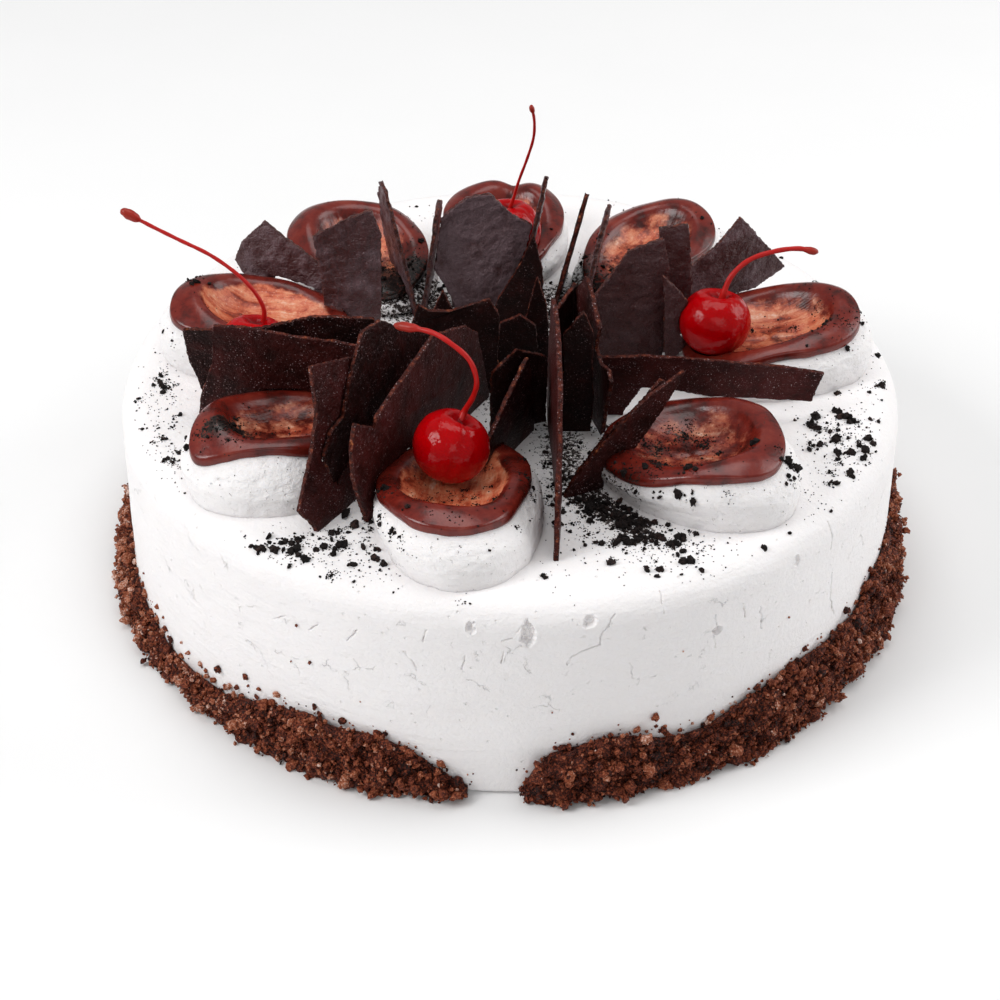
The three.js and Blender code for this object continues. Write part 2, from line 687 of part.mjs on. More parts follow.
function makePlate({ at, turn, lean, bow, outline }, seed, grow = 0) {
  const depth = BARK_THICKNESS + 2 * grow;
  const shape = new THREE.Shape(brokenOutline(outline, seed, grow));
  const geometry = new THREE.ExtrudeGeometry(shape, { depth, bevelEnabled: false });
  geometry.translate(0, 0, -depth / 2);
  const width = outline.map(([u]) => u);
  const [first, last] = [Math.min(...width), Math.max(...width)];
  const position = geometry.getAttribute('position');
  for (let i = 0; i < position.count; i += 1) {
    const side = (2 * position.getX(i) - first - last) / (last - first);
    position.setZ(i, position.getZ(i) + bow * (1 - side ** 2));
  }
  const along = new THREE.Vector3(Math.cos(radians(turn)), Math.sin(radians(turn)), 0);
  const right = new THREE.Vector3(along.y, -along.x, 0);
  const up = new THREE.Vector3(0, 0, Math.cos(radians(lean)));
  up.addScaledVector(right, Math.sin(radians(lean)));
  const placed = new THREE.Matrix4().makeBasis(along, up, along.clone().cross(up));
  placed.setPosition(at[0], at[1], CAKE_HEIGHT);
  return toSolid(geometry.applyMatrix4(placed));
}

// Everything from just above the cake's top down.
function cakeSpace() {
  const slab = new THREE.BoxGeometry(3 * CAKE_RADIUS, 3 * CAKE_RADIUS, CAKE_HEIGHT);
  return toSolid(slab.translate(0, 0, CAKE_HEIGHT / 2 + GAP));
}

// ---- Assembly ----

const cake = new THREE.Group();

function addPiece(name, solid, finish) {
  const mesh = new THREE.Mesh(toGeometry(solid), finish);
  mesh.name = name;
  cake.add(mesh);
}

const cherrySpace = wasm.Manifold.union(cherries.map((cherry) => makeCherry(cherry, GAP)));
let taken = cakeSpace();
for (const dollop of dollops) {
  const cream = makeDollop(dollop).subtract(cherrySpace);
  const ganache = makeGanache(dollop).subtract(cherrySpace);
  addPiece(`cream_${dollop.name}`, biggestBody(cream), creamMaterial());
  addPiece(`ganache_${dollop.name}`, biggestBody(ganache), ganacheMaterial());
  taken = taken.add(dollopSpace(dollop));
}
for (const cherry of cherries) {
  const fruit = makeCherry(cherry);
  addPiece(`cherry_${cherry.name}`, fruit, cherryMaterial());
  const stem = makeStem(cherry).subtract(makeCherry(cherry, GAP));
  addPiece(`stem_${cherry.name}`, biggestBody(stem), stemMaterial());
  taken = taken.add(makeCherry(cherry, 1.5 * GAP)).add(makeStem(cherry, 1.5 * GAP));
}
barkPlates.forEach((plate, i) => {
  const seed = 100 + i;
  const solid = biggestBody(makePlate(plate, seed).subtract(taken));
  addPiece(`bark_${String(i + 1).padStart(2, '0')}`, solid, barkMaterial());
  taken = taken.add(makePlate(plate, seed, 1.5 * GAP));
});

const onTheCake = taken.subtract(cakeSpace());
let frosting = makeCake();
for (const crumb of topCrumbs(onTheCake)) {
  frosting = frosting.add(crumb);
}
addPiece('cake', biggestBody(frosting), creamMaterial());
addPiece('crumb_border', makeBorder(), crumbMaterial());

export default cake;
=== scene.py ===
"""Black forest cake: frosting, ganache dollops, chocolate bark, cherries and crumbs.

Laid out as a Blender add-on and run as a script. Sizes in the tables are millimetres.
"""

import math
from collections import namedtuple

import bpy
import numpy as np
from mathutils import Matrix, Vector, noise
from mathutils.bvhtree import BVHTree


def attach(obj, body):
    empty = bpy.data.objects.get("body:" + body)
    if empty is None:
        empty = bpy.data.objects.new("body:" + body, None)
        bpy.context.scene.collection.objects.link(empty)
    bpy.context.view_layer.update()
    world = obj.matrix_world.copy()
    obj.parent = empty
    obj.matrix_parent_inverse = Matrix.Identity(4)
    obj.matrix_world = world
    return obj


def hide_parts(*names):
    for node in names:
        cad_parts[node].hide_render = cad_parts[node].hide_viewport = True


bl_info = {
    "name": "Black Forest Cake",
    "version": (1, 0, 0),
    "blender": (4, 5, 0),
    "location": "View3D > Sidebar > Cake",
    "description": "Frosting, dollops, ganache, bark, cherries and crumbs of a whole cake",
    "category": "Object",
}

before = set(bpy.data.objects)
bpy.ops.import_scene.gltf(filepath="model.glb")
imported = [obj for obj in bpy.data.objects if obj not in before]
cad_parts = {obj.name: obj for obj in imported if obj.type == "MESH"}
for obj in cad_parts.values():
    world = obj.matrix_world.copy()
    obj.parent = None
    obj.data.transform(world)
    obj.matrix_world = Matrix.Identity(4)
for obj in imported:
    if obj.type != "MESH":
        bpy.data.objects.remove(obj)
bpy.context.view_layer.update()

MM = 0.001
GAP = 0.3
CAKE_RADIUS = 118

# ---- Colours ----


def linear(code, alpha=1.0):
    """An sRGB hex colour as linear red, green, blue and alpha."""
    shares = [int(code[i:i + 2], 16) / 255 for i in (1, 3, 5)]
    return (*[s / 12.92 if s <= 0.04045 else ((s + 0.055) / 1.055) ** 2.4 for s in shares], alpha)


# ---- Properties ----


def length(name, description, millimetres):
    return bpy.props.FloatProperty(
        name=name, description=description, default=millimetres * MM, min=0, unit="LENGTH",
        precision=4)


def colour(name, description, code):
    return bpy.props.FloatVectorProperty(
        name=name, description=description, default=linear(code)[:3], min=0, max=1, size=3,
        subtype="COLOR")


class CakeSizes(bpy.types.PropertyGroup):
    """Real sizes of the cake's parts."""

    cake_radius: length("Cake radius", "Radius of the frosted side", CAKE_RADIUS)
    cake_height: length("Cake height", "Height of the frosted body", 65)
    shoulder_radius: length("Shoulder", "Rounding of the top edge", 8.5)
    ganache_film: length("Ganache film", "Thickness of the ganache in the dish", 1.2)
    ganache_lip: length("Ganache lip", "Thickness where the ganache folds over the rim", 2.1)
    cherry_radius: length("Cherry radius", "Radius of a cherry", 10.9)
    stem_radius: length("Stem radius", "Radius of the thickest stem", 0.85)


class CakeColours(bpy.types.PropertyGroup):
    """Main colours of the cake's finishes."""

    cream: colour("Cream", "Whipped cream", "#f6f3f3")
    ganache: colour("Ganache", "Thick poured ganache", "#681b13")
    ganache_film: colour("Ganache film", "Thin ganache over cream", "#c46242")
    bark: colour("Bark", "Face of the chocolate bark", "#210806")
    cherry: colour("Cherry", "Candied cherry", "#bc0007")
    stem: colour("Stem", "Dyed cherry stem", "#bd1612")
    crumb: colour("Sponge crumb", "Chocolate sponge crumb", "#8a4228")
    cookie: colour("Cookie crumb", "Black cocoa cookie crumb", "#1a1110")


# ---- Materials ----


def add_node(tree, kind, inputs=None, stops=(), **settings):
    """Adds a shader node. An input is a value, an output that is linked to it, or a node whose
    first output in use is linked."""
    made = tree.nodes.new("ShaderNode" + kind)
    for name, value in settings.items():
        setattr(made, name, value)
    for name, value in (inputs or {}).items():
        if isinstance(value, bpy.types.Node):
            value = next(output for output in value.outputs if output.enabled)
        if isinstance(value, bpy.types.NodeSocket):
            tree.links.new(value, made.inputs[name])
        else:
            made.inputs[name].default_value = value
    if stops:
        elements = made.color_ramp.elements
        elements[0].position, elements[0].color = stops[0]
        elements[-1].position, elements[-1].color = stops[-1]
        for position, shade in stops[1:-1]:
            elements.new(position).color = shade
    return made


def per(millimetres):
    """Noise scale, in waves a metre, of a pattern whose grain is this size."""
    return 1 / (millimetres * MM)


def new_material(name):
    """A bare node material, its tree and the output that gives an object's own coordinates."""
    material = bpy.data.materials.new(name)
    material.use_nodes = True
    tree = material.node_tree
    tree.nodes.clear()
    return material, tree, add_node(tree, "TexCoord").outputs["Object"]


def shade_with(tree, relief=None, **inputs):
    """Dresses the surface with a Principled shader. Relief is the height of its bumps, their
    strength and their depth in millimetres."""
    if relief:
        height, strength, depth = relief
        inputs["Normal"] = add_node(tree, "Bump", {
            "Height": height, "Strength": strength, "Distance": depth * MM})
    shader = add_node(tree, "BsdfPrincipled", {
        name.replace("_", " "): value for name, value in inputs.items()})
    add_node(tree, "OutputMaterial", {"Surface": shader})


def powdered_and_shaded(tree, base, place):
    """A base colour under cocoa powder that is too fine to be pieces: it gathers where the cookie
    crumbs lie thickest, in specks of 0.4 mm and more. Spread thick and near black in the crown
    among the bark, it also paints the shade there: partly powder, partly painted shade."""
    powder = add_node(tree, "Attribute", attribute_name="powder").outputs["Fac"]
    dust = add_node(tree, "TexNoise", {
        "Vector": place, "Scale": per(1.3), "Detail": 5.0, "Roughness": 0.75})
    reach = add_node(tree, "Math", {0: powder, 1: 0.6, 2: dust}, operation="MULTIPLY_ADD")
    covered = add_node(tree, "MapRange", {"Value": reach, "From Min": 0.7, "From Max": 0.75})
    tone = add_node(tree, "ValToRGB", {"Fac": reach}, stops=[
        (0.7, linear("#4a352e")), (0.8, linear("#241815")), (0.95, linear("#120b0a"))])
    return add_node(tree, "Mix", {0: covered, 6: base, 7: tone}, data_type="RGBA")


def hairlines(tree, height, place):
    """Cuts hairline cracks 0.3 mm wide into the upper part of the cake's side, in patches."""
    warp = add_node(tree, "TexNoise", {
        "Vector": place, "Scale": per(4), "Detail": 3.0, "Roughness": 0.65})
    bent = add_node(tree, "VectorMath", {
        0: warp.outputs["Color"], 1: (7 * MM, 7 * MM, 7 * MM), 2: place},
        operation="MULTIPLY_ADD")
    cells = add_node(tree, "TexVoronoi", {
        "Vector": bent, "Scale": per(11)}, feature="DISTANCE_TO_EDGE")
    line = add_node(tree, "MapRange", {
        "Value": cells, "From Min": 0.0, "From Max": 0.02,
        "To Min": -1.2, "To Max": 0.0})
    area = add_node(tree, "TexNoise", {
        "Vector": place, "Scale": per(7), "Detail": 3.0, "Roughness": 0.6})
    where = add_node(tree, "MapRange", {"Value": area, "From Min": 0.55, "From Max": 0.62})
    up = add_node(tree, "SeparateXYZ", {"Vector": place}).outputs["Z"]
    # They fade out between these heights, at the top of the side and towards its foot.
    for none, full in ((61, 57), (24, 34)):
        faded = add_node(tree, "MapRange", {
            "Value": up, "From Min": none * MM, "From Max": full * MM})
        where = add_node(tree, "Math", {0: faded, 1: where}, operation="MULTIPLY")
    return add_node(tree, "Math", {0: line, 1: where, 2: height}, operation="MULTIPLY_ADD")


def whipped_cream_material(name, colours, cracked, stretch, strength):
    """Whipped cream, spread with a spatula: matt, a little see-through, faintly streaked."""
    material, tree, place = new_material(name)
    mapped = add_node(tree, "Mapping", {"Vector": place, "Scale": stretch})
    streak = add_node(tree, "TexNoise", {
        "Vector": mapped, "Scale": per(2.2), "Detail": 4.0, "Roughness": 0.6})
    grain = add_node(tree, "TexNoise", {
        "Vector": place, "Scale": per(1.3), "Detail": 4.0, "Roughness": 0.65})
    # Air bubbles that the spatula burst, about 0.6 mm wide and far apart.
    pore = add_node(tree, "TexVoronoi", {"Vector": place, "Scale": per(4.5)})
    pit = add_node(tree, "MapRange", {
        "Value": pore, "From Min": 0.03, "From Max": 0.1,
        "To Min": -0.8, "To Max": 0.0})
    wide = add_node(tree, "TexNoise", {
        "Vector": place, "Scale": per(28), "Detail": 2.0})
    tint = add_node(tree, "Mix", {
        0: wide, 6: (*colours.cream, 1), 7: (*[0.965 * part for part in colours.cream], 1)},
        data_type="RGBA")
    height = add_node(tree, "Math", {0: grain, 1: 0.8, 2: streak}, operation="MULTIPLY_ADD")
    height = add_node(tree, "Math", {0: height, 1: pit}, operation="ADD")
    if cracked:
        height = hairlines(tree, height, place)
    shade_with(tree, (height, strength, 0.5), Base_Color=powdered_and_shaded(tree, tint, place),
               Roughness=0.6, IOR=1.4, Subsurface_Weight=0.2,
               Subsurface_Radius=(1.0, 0.9, 0.8), Subsurface_Scale=1.2 * MM)
    return material


def ganache_material(colours):
    """Ganache, poured and dragged with a spoon: glossy and dark where thick, tan streaks where
    the cream shows through."""
    material, tree, place = new_material("poured ganache")
    film = add_node(tree, "Attribute", attribute_name="film").outputs["Fac"]
    stroke = add_node(tree, "Attribute", attribute_name="stroke").outputs["Vector"]
    # Streaks run with the spoon: 20 mm long and 2 mm wide.
    drawn = add_node(tree, "Mapping", {"Vector": stroke, "Scale": (0.22, 1.0, 1.0)})
    streak = add_node(tree, "TexNoise", {
        "Vector": drawn, "Scale": per(4.5), "Detail": 4.0, "Roughness": 0.7,
        "Distortion": 0.5})
    patch = add_node(tree, "TexNoise", {
        "Vector": place, "Scale": per(8), "Detail": 5.0, "Roughness": 0.65})
    mottle = add_node(tree, "TexNoise", {
        "Vector": place, "Scale": per(4), "Detail": 6.0, "Roughness": 0.72})
    blend = add_node(tree, "Mix", {0: 0.5, 2: streak, 3: mottle}, data_type="FLOAT")
    spread = add_node(tree, "ValToRGB", {"Fac": blend}, stops=[
        (0.35, linear("#3f0f08")), (0.43, linear("#9a3c24")), (0.49, (*colours.ganache_film, 1)),
        (0.57, linear("#d88a66")), (0.66, linear("#e9c4ae"))])
    amount = add_node(tree, "Math", {0: patch, 1: 3.6, 2: -1.8}, operation="MULTIPLY_ADD")
    shown = add_node(tree, "Math", {0: film, 1: amount}, operation="ADD")
    masked = add_node(tree, "Math", {0: shown, 1: film}, operation="MULTIPLY")
    share = add_node(tree, "MapRange", {"Value": masked, "From Min": 0.15, "From Max": 1.0},
                     interpolation_type="SMOOTHSTEP")
    thick = add_node(tree, "ValToRGB", {"Fac": patch}, stops=[
        (0.35, linear("#3d110c")), (0.5, (*colours.ganache, 1)), (0.68, linear("#7a2c20"))])
    base = add_node(tree, "Mix", {0: share, 6: thick, 7: spread}, data_type="RGBA")
    # Pale specks where the film broke into crumbs of cream and cocoa, 0.4 mm across.
    speck = add_node(tree, "TexVoronoi", {"Vector": place, "Scale": per(1.3)})
    dot = add_node(tree, "MapRange", {
        "Value": speck, "From Min": 0.12, "From Max": 0.24,
        "To Min": 0.55, "To Max": 0.0})
    dotted = add_node(tree, "Math", {0: dot, 1: share}, operation="MULTIPLY")
    mottled = add_node(tree, "Mix", {0: dotted, 6: base, 7: linear("#d2a58f")}, data_type="RGBA")
    rough = add_node(tree, "MapRange", {"Value": share, "To Min": 0.25, "To Max": 0.38})
    # The strokes stand out only on the film: the bead over the rim has flowed smooth.
    stood = add_node(tree, "Math", {0: streak, 1: film}, operation="MULTIPLY")
    height = add_node(tree, "Math", {0: patch, 1: 0.35, 2: stood}, operation="MULTIPLY_ADD")
    shade_with(tree, (height, 0.8, 0.7), Base_Color=powdered_and_shaded(tree, mottled, place),
               Roughness=rough, IOR=1.45, Specular_IOR_Level=0.5)
    return material


def bark_material(name, colours, gloss, relief):
    """Tempered dark chocolate, poured thin and broken: dusty faces, paler broken edges with sparse
    painted highlights. Each plate's shade sets its face's tone: painted shade on the plates deep in
    the crown, a painted pale grey sheen on the plates that lean back under the lights.
    """
    material, tree, place = new_material(name)
    broken, shade, bloom = (
        add_node(tree, "Attribute", attribute_name=name).outputs["Fac"]
        for name in ("broken", "shade", "bloom"))
    cloud, chip, patches, grain, swell = (
        add_node(tree, "TexNoise", {
            "Vector": place, "Scale": per(size), "Detail": detail, "Roughness": rough})
        for size, detail, rough in (
            (7, 5, 0.65), (1.6, 3, 0.65), (5, 4, 0.7), (0.9, 3, 0.65), (3.5, 4, 0.6)))
    clouded = add_node(tree, "Math", {0: cloud, 1: 0.9, 2: -0.45}, operation="MULTIPLY_ADD")
    tone = add_node(tree, "Math", {0: clouded, 1: shade}, operation="ADD")
    # The face's tone: near black at the bottom of the ramp is painted shade, and the pale grey at
    # the top is a painted sheen. Between them lies the chocolate's own dark red-brown, varied at
    # random.
    face = add_node(tree, "ValToRGB", {"Fac": tone}, stops=[
        (0.0, linear("#0c0302")), (0.28, (*colours.bark, 1)), (0.55, linear("#401412")),
        (0.8, linear("#4a2c2e")), (1.0, linear("#705a5f"))])
    # Broken edges in warm browns; the palest stop paints sparse orange highlights along them, a
    # painted highlight.
    edge = add_node(tree, "ValToRGB", {"Fac": chip}, stops=[
        (0.36, linear("#260c0a")), (0.52, linear("#47190f")), (0.64, linear("#6a3020")),
        (0.76, linear("#b87243"))])
    dusty = add_node(tree, "Mix", {0: broken, 6: face, 7: edge}, data_type="RGBA")
    # Specks of bloom and dust on a face, 0.2 and 0.4 mm across, drawn in patches.
    patched = add_node(tree, "MapRange", {"Value": patches, "From Min": 0.4, "From Max": 0.58})
    where = add_node(tree, "Math", {0: patched, 1: bloom}, operation="MULTIPLY")
    for cell, inner, outer, tone in ((0.95, 0.1, 0.2, "#c2acae"), (0.5, 0.13, 0.27, "#8a686a")):
        speck = add_node(tree, "TexVoronoi", {"Vector": place, "Scale": per(cell)})
        dot = add_node(tree, "MapRange", {
            "Value": speck, "From Min": inner, "From Max": outer,
            "To Min": 1.0, "To Max": 0.0})
        dust = add_node(tree, "Math", {0: dot, 1: where}, operation="MULTIPLY")
        dusty = add_node(tree, "Mix", {0: dust, 6: dusty, 7: linear(tone)}, data_type="RGBA")
    height = add_node(tree, "Math", {0: swell, 1: 2.2, 2: grain}, operation="MULTIPLY_ADD")
    shade_with(tree, (height, relief, 0.6), Base_Color=dusty, Roughness=0.55 - 0.5 * gloss,
               IOR=1.45, Specular_IOR_Level=gloss)
    return material


def cherry_material(colours):
    """Candied cherry, dyed and glazed in syrup: deep clear red under a wet shine."""
    material, tree, place = new_material("candied cherry")
    flesh = add_node(tree, "TexNoise", {
        "Vector": place, "Scale": per(5), "Detail": 3.0, "Roughness": 0.55})
    skin = add_node(tree, "Mix", {
        0: flesh, 6: (*colours.cherry, 1), 7: linear("#8c0004")}, data_type="RGBA")
    dimple = add_node(tree, "Attribute", attribute_name="dimple").outputs["Fac"]
    shaded = add_node(tree, "Mix", {0: dimple, 6: skin, 7: linear("#5a0104")}, data_type="RGBA")
    pucker = add_node(tree, "TexNoise", {"Vector": place, "Scale": per(3.4), "Detail": 3.0})
    shade_with(tree, (pucker, 0.6, 0.7), Base_Color=shaded, Roughness=0.1, IOR=1.35,
               Specular_IOR_Level=0.35, Subsurface_Weight=0.35,
               Subsurface_Radius=(1.0, 0.03, 0.02), Subsurface_Scale=3 * MM)
    return material


def stem_material(colours):
    """Cherry stem, dyed with its fruit: satin, browner at the knob."""
    material, tree, place = new_material("dyed cherry stem")
    knob = add_node(tree, "Attribute", attribute_name="knob").outputs["Fac"]
    fibre = add_node(tree, "TexNoise", {"Vector": place, "Scale": per(1.5), "Detail": 3.0})
    body = add_node(tree, "Mix", {
        0: fibre, 6: (*colours.stem, 1), 7: linear("#a31210")}, data_type="RGBA")
    tipped = add_node(tree, "Mix", {0: knob, 6: body, 7: linear("#93281c")}, data_type="RGBA")
    shade_with(tree, (fibre, 0.3, 0.2), Base_Color=tipped, Roughness=0.35, IOR=1.45,
               Specular_IOR_Level=0.3)
    return material


def crumb_material(name, tones, grain_size, roughness):
    """Crumbs of cake or cookie, rubbed by hand: dry and porous, each its own shade."""
    material, tree, place = new_material(name)
    tone = add_node(tree, "Attribute", attribute_name="tone").outputs["Fac"]
    grain = add_node(tree, "TexNoise", {
        "Vector": place, "Scale": per(grain_size), "Detail": 3.0, "Roughness": 0.65})
    mixed = add_node(tree, "Math", {0: grain, 1: 1.8, 2: -0.9}, operation="MULTIPLY_ADD")
    total = add_node(tree, "Math", {0: tone, 1: mixed}, operation="ADD")
    base = add_node(tree, "ValToRGB", {"Fac": total}, stops=tones)
    shade_with(tree, (grain, 1.0, 0.7), Base_Color=base, Roughness=roughness, IOR=1.4,
               Specular_IOR_Level=0.35)
    return material


def studio_material():
    """Pale painted board, rolled matt: the floor that the cake stands on."""
    material, tree, place = new_material("pale studio board")
    grain = add_node(tree, "TexNoise", {"Vector": place, "Scale": per(60)})
    tint = add_node(tree, "Mix", {
        0: grain, 6: linear("#f2f2f2"), 7: linear("#efefef")}, data_type="RGBA")
    shade_with(tree, Base_Color=tint, Roughness=0.7)
    return material


# ---- Modelling helpers ----

# Vertices closer than this, in metres, are one and the same.
SAME_PLACE = 1e-6


def deselect_all():
    if bpy.context.object and bpy.context.object.mode != "OBJECT":
        bpy.ops.object.mode_set(mode="OBJECT")
    bpy.ops.object.select_all(action="DESELECT")


def select_only(piece):
    deselect_all()
    bpy.context.view_layer.objects.active = piece
    piece.select_set(True)


def rows_of(items, field, width=3):
    """One field of every vertex or face, a row each."""
    values = np.empty(width * len(items), np.float32)
    items.foreach_get(field, values)
    return values.reshape(-1, width)


def points_of(piece):
    """The piece's vertices in metres, one row each."""
    return rows_of(piece.data.vertices, "co").astype(float)


def set_points(piece, points):
    piece.data.vertices.foreach_set("co", np.asarray(points, np.float32).ravel())
    piece.data.update()


def normals_of(piece):
    return rows_of(piece.data.vertex_normals, "vector").astype(float)


def set_attribute(piece, name, values):
    """Stores a number or a vector for each vertex."""
    values = np.asarray(values, np.float32)
    kind, field = ("FLOAT", "value") if values.ndim == 1 else ("FLOAT_VECTOR", "vector")
    attribute = piece.data.attributes.new(name, kind, "POINT")
    attribute.data.foreach_set(field, values.ravel())


def ripple(points, size, seed=0):
    """Smooth noise from about -1 to 1 at each point, with waves of this size in metres."""
    shift = Vector((17.3 * seed, 5.1 * seed, 9.7 * seed))
    return np.array([noise.noise(Vector(point) / size + shift) for point in points])


def lumps(points, size, seed=0):
    """Rounded cells of this size: about 1 in the middle of each, 0 in the creases."""
    shift = Vector((3.7 * seed, 11.9 * seed, 1.3 * seed))
    nearest = [noise.voronoi(Vector(point) / size + shift)[0][0] for point in points]
    return np.clip(1 - np.array(nearest) * 1.3, 0, 1)


def put(name, data):
    """A new object in the scene."""
    made = bpy.data.objects.new(name, data)
    bpy.context.scene.collection.objects.link(made)
    return made


def mend(piece, merge=None, outward=True):
    """Merges the vertices that are closer than merge, and turns the faces outward."""
    select_only(piece)
    bpy.ops.object.mode_set(mode="EDIT")
    bpy.ops.mesh.select_all(action="SELECT")
    if merge:
        bpy.ops.mesh.remove_doubles(threshold=merge)
    if outward:
        bpy.ops.mesh.normals_make_consistent(inside=False)
    bpy.ops.object.mode_set(mode="OBJECT")
    return piece


def spin_profile(profile, steps):
    """Extrudes a point along a half outline of radius and height, and spins it all round."""
    deselect_all()
    bpy.ops.mesh.primitive_plane_add(size=MM)
    piece = bpy.context.object
    bpy.ops.object.mode_set(mode="EDIT")
    bpy.ops.mesh.merge(type="CENTER")
    bpy.ops.transform.translate(value=(profile[0][0], 0, profile[0][1]))
    for (r0, z0), (r1, z1) in zip(profile, profile[1:]):
        bpy.ops.mesh.extrude_vertices_move(
            TRANSFORM_OT_translate={"value": (r1 - r0, 0, z1 - z0)})
    bpy.ops.mesh.select_all(action="SELECT")
    bpy.ops.mesh.spin(steps=steps, angle=2 * math.pi, center=(0, 0, 0), axis=(0, 0, 1))
    return mend(piece, SAME_PLACE)


def apply_modifier(piece, kind, **settings):
    modifier = piece.modifiers.new(kind.title(), kind)
    for name, value in settings.items():
        setattr(modifier, name, value)
    select_only(piece)
    bpy.ops.object.modifier_apply(modifier=modifier.name)


def merged_copy(node):
    """A copy of a frame solid's mesh as a new piece, with its loose triangles merged."""
    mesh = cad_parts[node].data.copy()
    mesh.materials.clear()
    return mend(put(node + "_copy", mesh), 0.01 * MM, outward=False)


def finish_piece(piece, name, nodes, material, smooth_angle=None):
    """Names, shades and dresses a piece, and ties it to the frame."""
    piece.name = piece.data.name = name
    piece.data.materials.clear()
    piece.data.materials.append(material)
    select_only(piece)
    if smooth_angle is None:
        bpy.ops.object.shade_smooth()
    else:
        bpy.ops.object.shade_smooth_by_angle(angle=math.radians(smooth_angle))
    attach(piece, "root")
    if nodes:
        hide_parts(*nodes)
    return piece


# ---- Frosted cake ----

FOOT_ROUND = 1.2
SIDE_UNEVENNESS = 0.5
SIDE_RING = 1.0
SHOULDER_RINGS = 9
CAKE_STEPS = 480
TAPER = 0.3
TOP_DISC = 80

# The part of the side that is cut finer all over: degrees from and to, and its least height.
# Nothing nearer to the middle than SIDE_INNER is cut.
FRONT_ARC = (-126, -36)
FRONT_BASE = 30
SIDE_INNER = 108

# Degrees round the cake and millimetres up, along each crack in the cream.
CRACKS = [
    [(-56.7, 53.3), (-56.4, 48.3)],
    [(-53.6, 49.3), (-53.2, 41.4)],
    [(-61.3, 53), (-61, 49.5)],
    [(-61.4, 46), (-60.9, 41.5)],
    [(-75.8, 60.8), (-77.6, 56), (-77.8, 52), (-80.4, 50.4), (-81.7, 48.6), (-82.1, 46.4)],
    [(-88.1, 60), (-89.4, 56.4), (-90.7, 55.4)],
    [(-90.6, 51.8), (-90.8, 47.8)],
    [(-69.1, 63.5), (-69, 58.6)],
    [(-38.4, 44.5), (-38.1, 35.2), (-36.8, 27.5)],
    [(-38.9, 62), (-39.3, 54)],
    [(-100.6, 57.4), (-101, 53.5)],
    [(-103.6, 49), (-102.2, 45), (-102, 43)],
    [(-95.6, 49.7), (-95.9, 45.1)],
    [(-111.6, 48.7), (-110.1, 53.1)],
    [(-117.3, 48.1), (-115.7, 51.8)],
    [(-123.2, 46.7), (-121.2, 49.8)],
    [(28, 50), (29, 43)],
    [(64, 55), (66, 50), (65, 44)],
    [(112, 52), (113, 46)],
    [(151, 56), (150, 48), (152, 45)],
]

# Degrees, millimetres up, half width, half height and depth of each pit in the cream.
PITS = [
    (-60.9, 47.5, 1.6, 1.4, 1.5),
    (-79.2, 59.9, 1.7, 1.6, 1.0),
    (-87.3, 57.4, 1.7, 4.0, 1.6),
    (-94.8, 59, 1.3, 1.8, 1.3),
    (-47, 58.4, 0.9, 1.2, 0.8),
    (78, 58, 1.3, 1.7, 1.1),
    (134, 57, 1.2, 1.5, 1.0),
]


def side_offset(angle, z):
    """Wandering of the frosted side, in millimetres, at an angle and a height in millimetres."""
    fade = np.minimum(z / 20, 1)
    waves = np.sin(3 * angle + 0.7) + 0.6 * np.sin(7 * angle + z / 22)
    return SIDE_UNEVENNESS * fade * waves * 0.6


def cake_profile(sizes):
    """Half outline of the frosted body, from the middle of the base out, up and back in."""
    radius, height, shoulder = sizes.cake_radius, sizes.cake_height, sizes.shoulder_radius
    side_top = height - shoulder
    profile = [(0, 0), (radius / 2, 0), (radius - FOOT_ROUND * MM, 0)]
    for z in np.arange(FOOT_ROUND * MM, side_top, SIDE_RING * MM):
        taper = TAPER * MM * max(0, (z - 20 * MM) / (side_top - 20 * MM))
        profile.append((radius - taper, z))
    inner = radius - TAPER * MM - shoulder
    for step in range(SHOULDER_RINGS + 1):
        turn = math.pi / 2 * step / SHOULDER_RINGS
        profile.append((inner + shoulder * math.cos(turn), side_top + shoulder * math.sin(turn)))
    # Across the top, the rings lie close together only outside the dollops' middles.
    profile += [(r, height) for r in np.arange(inner - 2 * MM, (TOP_DISC + 2) * MM, -2 * MM)]
    profile += [(r, height) for r in np.linspace(TOP_DISC * MM, 0, 9)]
    return profile


def distance_to_line(arc, z, line, radius):
    """Distance in millimetres from each point of the unrolled side to a broken line."""
    corners = [np.array((math.radians(degrees) * radius, up)) for degrees, up in line]
    here = np.stack([arc, z], 1)
    best = np.full(len(arc), 1e3)
    for start, end in zip(corners, corners[1:]):
        span = end - start
        share = np.clip((here - start) @ span / (span @ span), 0, 1)
        best = np.minimum(best, np.linalg.norm(here - start - share[:, None] * span, axis=1))
    return best


def near_marks(arc, z, radius, margin):
    """Which points of the unrolled side lie this close to a crack or a pit."""
    near = np.zeros(len(arc), bool)
    for line in CRACKS:
        near |= distance_to_line(arc, z, line, radius) < margin
    for degrees, up, wide, tall, _ in PITS:
        spot = [(degrees, up - tall / 2), (degrees, up + tall / 2)]
        near |= distance_to_line(arc, z, spot, radius) < wide + margin
    return near


